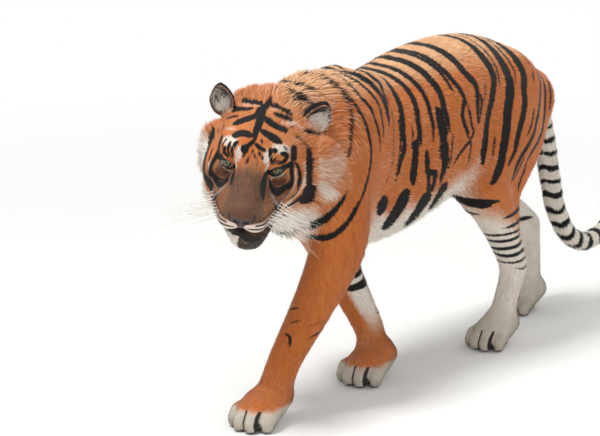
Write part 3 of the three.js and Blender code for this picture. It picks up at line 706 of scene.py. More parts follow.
# on the face a stroke's points are how far to the tiger's left and how far up, over a ball of 130 mm
faceMarks = [
    (7, 22, [(25, 218), (20, 200), (8, 186), (0, 170), (3, 152)]),
    (17, 5, [(4, 158), (3, 136), (1, 118), (-3, 104), (-2, 86), (0, 73)]),
    (8, 7, [(-72, 204), (-25, 202), (5, 198)]),
    (8, 7, [(20, 200), (48, 193), (68, 183), (85, 175), (98, 165)]),
    (8, 7, [(-100, 165), (-80, 172), (-50, 172), (-27, 178)]),
    (9, 7, [(42, 168), (63, 160), (83, 155), (100, 147)]),
    (9, 13, [(-3, 155), (-13, 149), (-35, 138), (-57, 127), (-78, 116)]),
    (4, 4, [(-120, 137), (-70, 146)]),
    (13, 9, [(15, 149), (37, 134), (58, 123), (79, 117), (86, 111)]),
    (13, 10, [(-60, 76), (-45, 86), (-27, 89), (-13, 84)]),
    (5, 3, [(-13, 84), (-8, 94), (-3, 100)]),
    (4, 3, [(14, 46), (19, 34)]),
    (4, 3, [(-9, 26), (-12, 12)]),
    (3, 3, [(4, 40), (6, 28)]),
    (8, 15, [(10, 107), (25, 99), (43, 89), (66, 77)]),
    (7, 5, [(-2, 73), (-14, 60), (-22, 48), (-30, 42)]),
    (12, 10, [(-22, 50), (-22, 44)]),
    (7, 4, [(2, 66), (12, 58), (24, 52), (32, 50)]),
    (7, 3, [(-43, 62), (-48, 52), (-51, 37), (-47, 24)]),
    (5, 3, [(-60, 58), (-62, 40), (-56, 24)]),
    (4, 3, [(-50, 78), (-54, 68)]),
    (4, 3, [(-74, 66), (-80, 54), (-84, 40)]),
    (4, 3, [(-7, 70), (-9, 56)]),
    (3, 3, [(-19, 38), (-23, 26)]),
    (3, 3, [(23, 38), (27, 26)]),
    (4, 3, [(15, 80), (20, 68)]),
    (3, 3, [(-2, 50), (-1, 38)]),
    (5, 3, [(74, 66), (90, 58)]),
    (7, 5, [(-72, 42), (-72, 28), (-62, 19)]),
    (6, 4, [(41, 57), (42, 40), (48, 22)]),
    (8, 6, [(50, 54), (54, 50)]),
    (8, 6, [(68, 47), (85, 45), (84, 32), (68, 20)]),
    (3, 3, [(57, 37), (48, 22)]),
    (9, 6, [(-47, -2), (-38, -12), (-34, -34)]),
    (10, 8, [(47, -2), (38, -10), (32, -24), (33, -44)]),
    (9, 13, [(158, 60), (162, 40), (164, 20), (165, -5), (166, -30), (167, -52)]),
    (19, 20, [(168, -46), (164, -64), (160, -80), (154, -94)]),
    (14, 4, [(152, -76), (132, -86), (110, -94), (85, -100)]),
    (12, 13, [(110, 70), (111, 52), (110, 34)]),
    (5, 9, [(114, 30), (126, 14), (131, -5), (131, -25), (127, -44)]),
    (4, 3, [(125, -42), (128, -52), (116, -64), (98, -72)]),
    (9, 6, [(146, 118), (165, 106), (184, 98)]),
    (3, 3, [(95, 134), (112, 119)]),
    (10, 16, [(-166, 92), (-174, 62), (-178, 38), (-171, 12), (-156, -12), (-141, -32), (-126, -48)]),
    (13, 12, [(-130, -48), (-112, -54), (-96, -60), (-86, -66)]),
    (10, 9, [(-102, 74), (-99, 48), (-100, 25), (-96, 6)]),
    (5, 4, [(-136, 32), (-131, 10), (-122, -10)]),
    (3, 3, [(-124, 118), (-128, 92)]),
]
pairedMarks = [
    (10, 7, [(76, 8), (94, 17), (107, 26)]),
    (7, 6, [(107, 28), (106, 10), (107, -10), (104, -28), (96, -42)]),
    (6, 5, [(50, -20), (55, -38), (63, -49), (75, -50), (88, -40), (98, -26)]),
    (3, 3, [(62, -34), (68, -42), (80, -40), (88, -30)]),
    (3, 2, [(56, -58), (62, -70), (76, -74), (86, -66)]),
]
faceBrown = [
    (4, 3, [(-5, 35), (-14, 18)]),
    (4, 3, [(8, 35), (14, 20), (12, 10)]),
    # these two strokes under the eyes are painted shade round the eye sockets, in brown
    (12, 12, [(60, -26), (74, -30), (90, -20)]),
    (12, 12, [(-60, -26), (-74, -30), (-90, -20)]),
    (9, 9, [(46, 20), (62, 26), (82, 24)]),
    (9, 9, [(-46, 20), (-62, 26), (-82, 24)]),
    (10, 11, [(110, 106), (126, 96), (142, 84), (156, 70), (166, 60)]),
    (5, 5, [(-150, 112), (-152, 86)]),
]
pairedPale = [
    (5, 4, [(51, -34), (58, -57), (68, -67), (82, -66)]),
    (5, 4, [(86, 1), (76, -10), (60, -17), (51, -26), (49, -36)]),
    (4, 3, [(100, 66), (102, 46), (96, 26)]),
    (5, 3, [(42, 20), (37, 4), (36, -12)]),
]
facePale = [
    (4, 3, [(112, 142), (130, 128), (146, 112)]),
    (5, 5, [(148, 26), (150, 0), (148, -26), (138, -52), (120, -66), (100, -77), (86, -90)]),
    (4, 4, [(117, 14), (118, -10), (115, -34), (104, -52), (90, -64)]),
    (5, 4, [(-128, 8), (-113, -22), (-96, -38), (-84, -48), (-70, -58)]),
]
faceLook = {
    "middle": (0, -0.09, -0.03), "ball": 130,
    "thicker": 1.85, "eyeRim": 5.0, "strokePale": 0.9, "strokeSoft": 1.6,
}
# the mouth, the whisker rows, the lines and the size of the painted shade behind the nostril are in mm,
# places and the bridge in metres
muzzleLook = {
    "flap": (8, 14),                               # how far the upper lip hangs, at its corner and in front
    "opening": (20, 10), "lopsided": 6,            # how far the mouth is open below it, and more on the left; the gap is painted dark, black lip edge and painted shade inside the mouth
    "chinPale": (1.0, 0.62), "lipPale": 0.72, "throatPale": 0.66,
    "bridgeHalf": 0.022, "bridgeWidens": 0.30,
    # painted shade under the eyes, laid on in the muzzle's brown: where, how far and how strong
    "eyeShadeAt": (0.066, -0.034), "eyeShadeSize": (0.022, 0.044), "eyeShadeShare": 0.8,
    "whiskerRows": ((58, 2.0), (68, 2.6), (79, 3.2)),        # how far down the pad, and half the line's width
    "rowSlope": 40, "spotEvery": 8.0, "spotGap": 2.2,
    "grooveHalf": 1.3,
    "nostril": (0.0125, -0.0570), "nostrilShadeSize": 7.0,
    "nostrilWing": (7, 4, [(17, -62), (24, -58), (28, -50), (28, -42)]),
}
flankLook = {
    "thicker": 1.65,
    "overSpine": (-12, 55), "overSpineAbove": 710,
    "rightShift": 10, "rightSway": 9, "swayEvery": 37,        # how the right side's stripes wander, in mm
    "bellyFrom": (0.10, 0.32),                     # of the trunk's height
    "chestHeight": (0.44, 0.56), "chestBack": (-0.16, -0.06),
    # the pale orange along the top of the back is a paler coat tone and painted top light
    "spineRich": 0.15, "spineHalf": (0.04, 0.15), "spineHeight": (0.66, 0.74),
    "napeRich": 0.6, "headRich": 0.85,
}
# pale patches: across, up, half width, half height, strength
palePatches = [
    (70, 59, 27, 14, 0.82), (-66, 60, 24, 15, 0.80), (34, 36, 9, 18, 0.75), (-34, 34, 8, 20, 0.75),
    (-84, 98, 25, 7, 0.42), (-45, 190, 45, 7, 0.36), (95, 137, 30, 7, 0.42), (55, 182, 30, 5, 0.40),
    (147, -34, 8, 16, 0.6), (188, 4, 12, 58, 0.38), (183, -72, 16, 50, 0.74), (-208, -20, 36, 90, 1.0),
    (-150, -75, 30, 26, 0.9), (150, 120, 24, 7, 0.40), (150, -160, 50, 46, 0.72), (-170, -140, 60, 60, 1.0),
    (100, -96, 40, 20, 0.55),
]
# round a leg: degrees from the front by the outside, and height
limbMarks = {
    "mmPerDegree": 0.75, "thicker": 1.6,
    "foreLeft": [(5, 4, [(70, 198), (124, 212)]), (4, 4, [(2, 208), (22, 202), (36, 182)]),
                 (3, 4, [(-34, 258), (8, 266)]), (3, 3, [(-2, 232), (30, 240)]),
                 (3, 2, [(56, 226), (92, 236)]), (13, 9, [(-60, 395), (-120, 380)]),
                 (14, 9, [(-60, 335), (-140, 318)]), (9, 6, [(-66, 270), (-130, 258)]),
                 (5, 3, [(140, 300), (185, 292)])],
    "foreRight": [(6, 11, [(-36, 245), (-90, 254), (-150, 268)]),
                  (9, 15, [(-30, 220), (-90, 227), (-152, 235)]),
                  (9, 6, [(-60, 330), (-140, 322)]), (3, 3, [(-100, 150), (-150, 148)]),
                  (6, 4, [(70, 330), (150, 318)]), (4, 3, [(60, 210), (110, 203)])],
    "hindLeft": [(12, 14, [(-66, 420), (-16, 410), (24, 402), (56, 398)]),
                 (10, 6, [(-60, 384), (-20, 376), (20, 372)]), (8, 6, [(190, 352), (140, 360), (70, 352)]),
                 (8, 6, [(195, 324), (140, 330), (60, 322)]),
                 (5, 5, [(190, 300), (120, 305), (40, 302), (-40, 298)]),
                 (6, 6, [(185, 280), (120, 286), (40, 282), (-50, 279)]),
                 (7, 7, [(185, 256), (120, 261), (40, 258), (-50, 254)]),
                 (8, 6, [(185, 230), (120, 237), (40, 235), (-44, 240)]),
                 (5, 4, [(180, 210), (110, 213), (30, 213), (-44, 216)]),
                 (4, 3, [(180, 188), (110, 189), (56, 196)]), (14, 9, [(-70, 372), (-130, 350)]),
                 (12, 8, [(-70, 322), (-130, 306)])],
    "hindRight": [(9, 6, [(190, 372), (140, 380), (90, 366)]), (9, 6, [(195, 338), (140, 346), (80, 330)]),
                  (8, 5, [(190, 308), (130, 312), (70, 292)]), (8, 5, [(190, 280), (120, 282), (70, 264)]),
                  (7, 5, [(185, 252), (120, 252), (75, 238)]), (7, 5, [(180, 226), (110, 224)]),
                  (6, 4, [(175, 200), (110, 196)]), (14, 9, [(-50, 370), (-130, 350)]),
                  (12, 8, [(-50, 312), (-130, 296)]), (9, 6, [(-50, 250), (-130, 240)])],
}
tailMarks = {
    "rings": [(70, 8), (112, 10), (150, 9), (188, 14), (226, 11), (262, 15), (300, 13), (338, 17), (378, 14),
              (420, 19), (462, 16), (505, 21), (550, 18), (596, 22)],        # how far along, and how wide
    "tipFrom": 640, "lean": 5.0,
    "pale": 0.8, "paleFrom": (0.16, 0.50),         # metres along the tail
}
earLook = {"rim": (0.88, 0.97), "spotUp": 0.012, "spotRadius": 0.012, "insidePale": 0.45}
# how far back the right leg stands behind the left one, by height, so that its stripes follow it
limbLag = {"fore": [(0.36, 0.199), (0.45, 0.126), (0.57, 0.048), (0.70, 0.0)],
           "hind": [(0.40, 0.180), (0.47, 0.147), (0.55, 0.065), (0.62, 0.0)]}
farMark = 60.0


def thickened(strokes, by):
    return [(first * by, last * by, spots) for first, last, spots in strokes]


def onBothSides(strokes):
    return [(first, last, [(side * across, up) for across, up in spots])
            for side in (1, -1) for first, last, spots in strokes]


def strokeDistance(flat, strokes):
    best = np.full(len(flat), farMark)
    for first, last, marks in strokes:
        marks = np.array(marks, float)
        rows = curveThrough(np.column_stack([marks, np.linspace(first, last, len(marks))]), 3)
        along = np.linspace(0, 1, len(rows))
        rows[:, 2] *= 0.5 * np.minimum(1, 0.45 + 3.5 * np.minimum(along, 1 - along))
        low, high = rows[:, :2].min(0) - 45, rows[:, :2].max(0) + 45
        near = np.flatnonzero(((flat > low) & (flat < high)).all(1))
        close = flat[near]
        mine = np.full(len(near), farMark)
        for start, end in zip(rows, rows[1:]):
            span = end[:2] - start[:2]
            t = np.clip((close - start[:2]) @ span / max(span @ span, 1e-9), 0, 1)
            away = np.linalg.norm(close - start[:2] - t[:, None] * span, axis=1)
            mine = np.minimum(mine, away - mixed(start[2], end[2], t))
        best[near] = np.minimum(best[near], mine)
    return best


def alongRows(points, rows, steps=4):
    rows = curveThrough(rows, steps)
    lengths = np.concatenate([[0], np.cumsum(np.linalg.norm(np.diff(rows[:, :3], axis=0), axis=1))])
    best = np.full(len(points), 9.0)
    arc, centre, heading = np.zeros(len(points)), np.zeros_like(points), np.zeros_like(points)
    for i, (start, end) in enumerate(zip(rows, rows[1:])):
        span = end[:3] - start[:3]
        t = np.clip((points - start[:3]) @ span / (span @ span), 0, 1)
        spot = start[:3] + t[:, None] * span
        away = np.linalg.norm(points - spot, axis=1)
        nearer = away < best
        best[nearer] = away[nearer]
        arc[nearer] = lengths[i] + t[nearer] * np.linalg.norm(span)
        centre[nearer], heading[nearer] = spot[nearer], unit(span)
    return arc, centre, heading


def lagAt(height, rows):
    heights, lags = np.array(rows).T
    return np.interp(height, heights, lags)


def faceFlat(points):
    # the head laid flat over its ball, about a line that rises 20 degrees
    local = unit(toHead(points) - faceLook["middle"])
    ahead = np.array([0, 0.94, 0.342])
    above = np.array([0, -0.342, 0.94])
    turned = np.arccos(np.clip(local @ ahead, -1, 1))
    scale = faceLook["ball"] * turned / np.maximum(np.sin(turned), 1e-6)
    return np.stack([local[:, 0] * scale, (local @ above) * scale], 1)


def wobble(points, size, seed):
    out = np.zeros(len(points))
    for i in range(3):
        way = np.array([math.sin(seed + 2.1 * i), math.cos(1.7 * seed + i), math.sin(0.6 * seed + 4.4 * i)])
        out += np.sin(points @ (way * (2 + i)) * 2 * math.pi / size / 3 + seed * (i + 1))
    return out / 3


def surfaceFacts(points, width=0.014):
    # how much of the surface belongs to each part, and how near it is to the lips and the head's own form
    forms = partForms(points)
    names = [name for name in forms if name != "lips"]
    stack = np.stack([forms[name] for name in names])
    weight = np.exp(-(stack - stack.min(0)) / width)
    facts = dict(zip(names, weight / weight.sum(0)))
    facts["lips"] = forms["lips"]
    facts["onHead"] = 1 - ramp(0.021, 0.036, forms["head"])
    return facts


def keptTo(share):
    # pushes a mark away where a part no longer rules the surface
    return farMark * (1 - np.clip(share * 2.6 - 0.3, 0, 1))


def legShare(share, name):
    return share[name] + share[name + "Paw"]


def inked(distance, soft):
    return np.clip(0.5 - distance / (2 * soft), 0, 1)


def addMark(layers, name, distance):
    layers[name] = np.minimum(layers[name], distance)


# white feet and inner sides by height in metres, and painted shade in the gaps between the toes
legLook = {
    "innerFrom": (0.15, 0.65),
    "foreInnerHeight": (0.07, 0.20),
    "foreFoot": [(0.12, 0.06, 0.20), (0.88, 0.036, 0.054)],        # how pale, full below, gone above
    "hindFoot": (0.90, 0.27, 0.40), "backOfShank": (0.5, 0.12, 0.20),        # less pale there, by how much
    "toeGaps": (-0.032, 0.0, 0.032), "gapHalf": 2.9, "gapFrom": 0.024, "gapTop": 0.050,
}


def paleFoot(name, height, normals):
    if name.startswith("fore"):
        return sum(pale * (1 - ramp(low, high, height)) for pale, low, high in legLook["foreFoot"])
    pale, low, high = legLook["hindFoot"]
    foot = pale * (1 - ramp(low, high, height + 0.08 * normals[:, 1]))
    less, low, high = legLook["backOfShank"]
    return foot * (1 - less * ramp(0.1, 0.8, normals[:, 1]) * (1 - ramp(low, high, height)))


# painted shade: dark lines in the creases between the toes
def toeGapShadeDistance(points, middle, heading, size):
    turn = math.radians(heading)
    offset = (points[:, :2] - middle) / size
    across = offset @ (math.cos(turn), math.sin(turn))
    ahead = offset @ (math.sin(turn), -math.cos(turn))
    spread = 1 + 1.2 * (ahead - 0.05)
    gap = np.min([np.abs(across - place * spread) for place in legLook["toeGaps"]], axis=0)
    onToes = (ahead > legLook["gapFrom"]) & (points[:, 2] < legLook["gapTop"])
    return np.where(onToes, gap * 1000 - legLook["gapHalf"], farMark)


def paintLegs(points, normals, share, layers):
    height = points[:, 2]
    perDegree = limbMarks["mmPerDegree"]
    for name, leg in legs.items():
        side = 1 if "Left" in name else -1
        mine = legShare(share, name)
        _, centre, _ = alongRows(points, leg["chain"])
        offset = (points - centre) * (side, -1, 1)
        angle = np.degrees(np.arctan2(offset[:, 0], offset[:, 1]))
        unrolled = np.stack([np.where(angle < -150, angle + 360, angle) * perDegree, height * 1000], 1)
        strokes = [(first, last, [(turn * perDegree, up) for turn, up in spots])
                   for first, last, spots in thickened(limbMarks[name], limbMarks["thicker"])]
        addMark(layers, "black", strokeDistance(unrolled, strokes) + keptTo(mine))
        inner = ramp(*legLook["innerFrom"], -normals[:, 0] * side + 0.35 * normals[:, 1])
        if name.startswith("fore"):
            inner *= ramp(*legLook["foreInnerHeight"], height)
        layers["pale"] += mine * np.maximum(inner, paleFoot(name, height, normals))
        addMark(layers, "dark", toeGapShadeDistance(points, *leg["paw"]) + keptTo(share[name + "Paw"]))


def palePatchesOn(points, flat):
    strokes = strokeDistance(flat, facePale + onBothSides(pairedPale))
    patch = faceLook["strokePale"] * inked(strokes, faceLook["strokeSoft"])
    for across, up, wide, tall, strength in palePatches:
        size = np.hypot((flat[:, 0] - across) / wide, (flat[:, 1] - up) / tall)
        size += 0.12 * wobble(points, 0.02, 6)
        patch = np.maximum(patch, strength * (1 - ramp(0.55, 1.35, size)))
    return patch


def eyeRims(local, layers):
    for side in (1, -1):
        near = np.flatnonzero(np.linalg.norm(local - mirrored(eyeLocal, side), axis=1) < 0.040)
        almond, front = eyeOpening(local[near], side)
        rim = np.where(front > 0, almond * 1000 - faceLook["eyeRim"], 0)
        layers["dark"][near] = np.minimum(layers["dark"][near], rim)


def mouthParts(points, local, below):
    # the upper lip hangs over the jaw, then the open mouth, painted dark as black lip edge and painted shade
    # inside, then a chin that is pale on the tiger's right
    look = muzzleLook
    forward = ramp(0.03, 0.08, local[:, 1])
    onJaw = ramp(-1.0, 2.0, below) * ramp(-0.04, -0.02, local[:, 1]) * (local[:, 2] < -0.07)
    flap = mixed(*look["flap"], forward) + 2 * wobble(points, 0.012, 5)
    shadedGap = mixed(*look["opening"], forward) + look["lopsided"] * ramp(-0.010, 0.010, local[:, 0])
    onChin = onJaw * ramp(-5, -3, below - flap - shadedGap)
    mouth = np.where(onJaw > 0.5, np.maximum(flap - below, below - flap - shadedGap), farMark)
    return onJaw, onChin, mouth


def whiskerLines(out, ahead, up, onJaw):
    # whisker rows are dark lines along the pads, the top one broken into spots
    look = muzzleLook
    slope = look["rowSlope"] * (0.1 - ahead)
    lines = [np.abs(up * 1000 + height - slope) - thick for height, thick in look["whiskerRows"]]
    lines[0] = np.maximum(lines[0], np.abs((ahead * 1000) % look["spotEvery"] - 4.0) - look["spotGap"])
    onPad = (out > 0.014) & (ahead > 0.030) & (ahead < 0.124) & (onJaw < 0.5)
    return np.where(onPad, np.min(lines, axis=0), farMark)


def noseLines(out, ahead, up):
    # the groove under the nose, painted shade in the hollow behind each nostril, and its wing curling up
    # beside the pad
    look = muzzleLook
    underNose = (ahead > 0.10) & (up < -0.062) & (up > -0.104)
    groove = np.where(underNose, out * 1000 - look["grooveHalf"], farMark)
    wing = strokeDistance(np.stack([out, up], 1) * 1000, [look["nostrilWing"]])
    aside, high = look["nostril"]
    nostril = np.minimum(np.hypot(out - aside, up - high) * 1000 - look["nostrilShadeSize"], wing)
    return np.minimum(groove, np.where(ahead > 0.092, nostril, farMark))


def paintFace(points, local, share, layers):
    look = muzzleLook
    flat = faceFlat(points)
    kept = farMark * (1 - share["onHead"])
    strokes = thickened(faceMarks + onBothSides(pairedMarks), faceLook["thicker"])
    addMark(layers, "black", strokeDistance(flat, strokes) + kept)
    addMark(layers, "brown", strokeDistance(flat, faceBrown) + kept)
    out, ahead, up = np.abs(local[:, 0]), local[:, 1], local[:, 2]
    onJaw, onChin, mouth = mouthParts(points, local, share["lips"] * 1000)

    # pale lips, chin and throat over the pale strokes and patches
    darkSide = ramp(-0.014, 0.004, local[:, 0] + 0.007 * wobble(points, 0.011, 8))
    chin = onChin * mixed(*look["chinPale"], darkSide)
    lip = (1 - ramp(-0.067, -0.058, up)) * ramp(0.010, 0.035, ahead) * (1 - onJaw)
    throat = look["throatPale"] * (1 - ramp(-0.120, -0.090, up)) * (1 - ramp(-0.02, 0.02, ahead))
    patch = np.maximum.reduce([palePatchesOn(points, flat), look["lipPale"] * lip, chin, throat])
    here = np.clip(1.5 * share["onHead"] * ramp(0.25, 0.6, share["head"]), 0, 1)
    layers["pale"] = mixed(layers["pale"], patch, here)

    # brown down the bridge and over the muzzle, and painted shade in brown under the eyes
    wide = look["bridgeHalf"] + look["bridgeWidens"] * np.clip(ahead, 0, 0.11)
    bridge = (1 - ramp(0.75 * wide, 1.5 * wide, out)) * ramp(-0.008, 0.050, ahead) * (1 - lip) * (1 - onJaw)
    aside, high = look["eyeShadeAt"]
    under = 1 - ramp(*look["eyeShadeSize"], np.hypot(out - aside, up - high))
    under = look["eyeShadeShare"] * (under * ramp(-0.07, -0.03, ahead))
    layers["bridge"] = np.maximum.reduce([bridge, under, onJaw - onChin]) * share["onHead"]

    # the dark side of the jaw is speckled
    grains = 1.6 * wobble(points, 0.007, 9) + 1.4 * wobble(points, 0.009, 10) - 1.7
    onFaceChin = onChin * share["onHead"] > 0.5
    layers["spots"] = np.where(onFaceChin, mixed(3.0, grains, darkSide), whiskerLines(out, ahead, up, onJaw))
    # the mouth's gap: black lip edge and painted shade inside the mouth
    addMark(layers, "dark", mouth + kept)
    eyeRims(local, layers)
    addMark(layers, "dark", noseLines(out, ahead, up))


def paintEar(points, normals, ear, mine, layers):
    # black behind with a pale spot, and pale inside within a dark rim
    place = earPlace(points, ear)
    behind = ramp(-0.1, 0.3, -normals @ (earAxes(ear)[1] @ headFrame))
    rim = ramp(*earLook["rim"], fromEarMiddle(place))
    spot = behind * (np.hypot(place[:, 0], place[:, 2] - earLook["spotUp"]) < earLook["spotRadius"])
    inside = (1 - behind) * (1 - rim)
    ink = mixed(mixed(-8.0, 6.0, inside), 20.0, spot)
    layers["black"] = mixed(layers["black"], ink, mine)
    layers["pale"] = mixed(layers["pale"], np.maximum(inside * earLook["insidePale"], spot), mine)
    layers["brown"] = mixed(layers["brown"], mixed(20.0, -3.0, inside), mine)


def paintTail(points, normals, mine, layers):
    arc, _, _ = alongRows(points, trunk["tail"], 3)
    reach = arc * 1000 + tailMarks["lean"] * np.sin(120 * points[:, 0]) + 4 * wobble(points, 0.05, 4)
    rings = np.min([np.abs(reach - place) - width / 2 for place, width in tailMarks["rings"]], axis=0)
    rings = np.minimum(rings, tailMarks["tipFrom"] - reach)
    addMark(layers, "black", rings + keptTo(mine))
    under = ramp(-0.3, 0.6, -normals[:, 2] + 0.6 * ramp(0.2, 0.6, arc))
    layers["pale"] += mine * np.maximum(under, tailMarks["pale"] * ramp(*tailMarks["paleFrom"], arc))


def overSpine(spots):        # a stroke that starts high goes on over the spine
    if spots[0][1] > flankLook["overSpineAbove"]:
        spots = [tuple(np.add(spots[0], flankLook["overSpine"]))] + spots
    return spots


def paint(points, normals, share):
    look = flankLook
    local = toHead(points)
    y, z = points[:, 1] * 1000, points[:, 2] * 1000
    headShare = share["head"] + share["earLeft"] + share["earRight"]
    legTotal = sum(legShare(share, name) for name in legs)

    # flanks: the right side copies the left with its own wander, and follows its own legs
    onRight = ramp(0.0, 0.05, -points[:, 0])
    lag = mixed(lagAt(points[:, 2], limbLag["fore"]), lagAt(points[:, 2], limbLag["hind"]),
                ramp(0.15, 0.40, points[:, 1]))
    wander = look["rightSway"] * np.sin(z / look["swayEvery"] + 1.3)
    back = y - onRight * (1000 * lag * legTotal + look["rightShift"] + wander)
    flank = np.stack([back, z], 1)
    strokes = [(first, last, overSpine(spots))
               for first, last, spots in thickened(flankMarks, look["thicker"])]
    black = strokeDistance(flank, strokes)
    lowLeg = 1 - ramp(0.33, 0.37, points[:, 2])
    elsewhere = [share["onHead"] * ramp(0.4, 0.7, headShare), ramp(0.5, 0.9, legTotal) * lowLeg,
                 ramp(0.45, 0.75, share["tail"])]
    black += farMark * np.maximum.reduce(elsewhere)
    brown = strokeDistance(flank, brownMarks) + farMark * ramp(0.3, 0.6, headShare)

    top, bottom, _ = throughRows(points[:, 1], trunk["rows"]).T
    lift = (points[:, 2] - bottom) / (top - bottom)
    belly = 1 - ramp(*look["bellyFrom"], lift + 0.05 * wobble(points, 0.10, 1))
    chest = 1 - ramp(*look["chestHeight"], points[:, 2] + 0.25 * np.abs(points[:, 0]))
    chest *= 1 - ramp(*look["chestBack"], points[:, 1])
    layers = {"black": black, "brown": brown, "pale": np.maximum(belly, chest) * (1 - legTotal),
              "dark": np.full(len(points), farMark)}

    paintLegs(points, normals, share, layers)
    paintTail(points, normals, share["tail"], layers)
    paintFace(points, local, share, layers)
    for side, ear in ears.items():
        paintEar(points, normals, ear, np.clip(1.6 * share["ear" + side.title()], 0, 1), layers)
    onSole = (points[:, 2] < 0.012) & (normals[:, 2] < -0.7)
    addMark(layers, "dark", np.where(onSole, -5.0, farMark))

    # the orange is rich on the flanks and pale along the top of the back: a paler coat tone there, and
    # painted top light
    fromSpine = np.abs(points[:, 0]) + 0.12 * (1 - ramp(*look["spineHeight"], points[:, 2]))
    rich = mixed(look["spineRich"], 1.0, ramp(*look["spineHalf"], fromSpine))
    rich = np.maximum(rich, look["napeRich"] * (1 - ramp(-0.26, -0.14, points[:, 1])))
    layers["rich"] = np.clip(mixed(rich, look["headRich"], headShare), 0, 1)
    layers["grey"] = legTotal * (1 - ramp(0.03, 0.10, points[:, 2]))
    layers["pale"] = np.clip(layers["pale"], 0, 1)
    return layers


def store(mesh, name, values, kind="FLOAT"):
    layer = mesh.attributes.new(name, kind, "POINT")
    layer.data.foreach_set("value" if kind == "FLOAT" else "vector", np.asarray(values, np.float32).ravel())


skinNormals = fromVertices(skin.data, "normal")
skinShare = surfaceFacts(skinPoints)
marks = paint(skinPoints, skinNormals, skinShare)
for name, values in marks.items():
    store(skin.data, name, values)
report("markings laid out")


# which way the hair lies and how long, wide and upright it is, by part
hair = {
    "trunk": {"length": 0.017, "width": 0.0026, "lift": 20, "perArea": 105000},
    "neck": {"length": 0.026, "width": 0.0028, "lift": 24, "perArea": 120000},
    "face": {"length": 0.0085, "width": 0.0014, "lift": 14, "perArea": 330000},
    "ruff": {"length": 0.032, "width": 0.0024, "lift": 24, "perArea": 230000},
    "ear": {"length": 0.0065, "width": 0.0013, "lift": 12, "perArea": 420000},
    "leg": {"length": 0.013, "width": 0.0024, "lift": 17, "perArea": 110000},
    "paw": {"length": 0.008, "width": 0.0018, "lift": 15, "perArea": 150000},
    "tail": {"length": 0.019, "width": 0.0024, "lift": 20, "perArea": 130000},
    "belly": {"length": 0.032, "lift": 32},
    "nape": {"length": 0.055, "lift": 52},
    "chest": {"length": 0.042, "lift": 44},
    "inEar": {"length": 0.028, "lift": 36},
    "quickShare": 0.4,
}


# which way it lies: the hair of the head grows away from the nose
lay = {
    "muzzleTip": (0, 0.125, -0.055), "downCheeks": 0.25,
    "trunk": (0, 1, -0.25), "neck": (0, 1, -0.30),
    "legBack": 0.25, "pawDown": 0.45,
    "strands": {"trunk": (0, 1, -0.25), "leg": (0, 0.25, -1), "paw": (0, -1, -0.4)},
    "squeeze": 5 / 6,
}


def everywhere(way, points):
    return np.tile(way, (len(points), 1))


def lieOf(points, share):
    local = toHead(points)
    way = {name: everywhere(lay[name], points) for name in ("trunk", "neck")}
    away = local - lay["muzzleTip"]
    away[:, 2] -= lay["downCheeks"] * np.maximum(0, 0.03 - local[:, 2])
    way["head"] = away @ headFrame
    for name in ("earLeft", "earRight"):
        ear = ears[name[3:].lower()]
        way[name] = everywhere((np.array(ear["tip"]) - np.array(ear["base"])) @ headFrame, points)
    for name, leg in legs.items():
        way[name] = alongRows(points, leg["chain"])[2] + (0, lay["legBack"], 0)
        angle = math.radians(leg["paw"][1])
        way[name + "Paw"] = everywhere((math.sin(angle), -math.cos(angle), -lay["pawDown"]), points)
    way["tail"] = alongRows(points, trunk["tail"], 3)[2]
    total = sum(share[name][:, None] * unit(way[name]) for name in way)
    return unit(total)


def combOf(points, share):
    # places squeezed along the hair, so that noise there comes out as strands
    out = np.zeros_like(points)
    for name, weight in share.items():
        if name in ("lips", "onHead"):
            continue
        if name == "head" or name.startswith("ear"):
            local = toHead(points) - lay["muzzleTip"]
            far = np.linalg.norm(local, axis=1, keepdims=True)
            flat = local / np.maximum(far, 1e-6) * (0.12 + far / 6)
        else:
            part = "paw" if name.endswith("Paw") else "leg" if name in legs else "trunk"
            way = unit(lay["strands"][part])
            flat = points - lay["squeeze"] * (points @ way)[:, None] * way
        out += weight[:, None] * flat
    return out


# the ruff starts this far behind the eyes, sooner at the sides and below, and thins over the crown
ruffPlace = {"behind": (0.045, 0.090), "aside": 0.35, "below": 0.45, "crown": (0.0, 0.05), "thinner": 0.75}


def kindShares(points, share):
    local = toHead(points)
    behind = ramp(*ruffPlace["behind"],
                  -local[:, 1] + ruffPlace["aside"] * np.maximum(np.abs(local[:, 0]) - 0.08, 0)
                  + ruffPlace["below"] * np.maximum(-local[:, 2] - 0.08, 0))
    crown = ramp(*ruffPlace["crown"], local[:, 2])
    ruffShare = share["head"] * behind * (1 - ruffPlace["thinner"] * crown)
    kinds = {name: share[name] for name in ("trunk", "neck", "tail")}
    kinds.update({"ear": share["earLeft"] + share["earRight"], "ruff": ruffShare,
                  "face": share["head"] - ruffShare})
    kinds["leg"] = sum(share[name] for name in legs)
    kinds["paw"] = sum(share[name + "Paw"] for name in legs)
    return kinds


def blended(kinds, what):
    return sum(hair[kind][what] * weight for kind, weight in kinds.items())


def trianglesOf(mesh):
    mesh.calc_loop_triangles()
    out = np.empty(len(mesh.loop_triangles) * 3, np.int32)
    mesh.loop_triangles.foreach_get("vertices", out)
    return out.reshape(-1, 3)


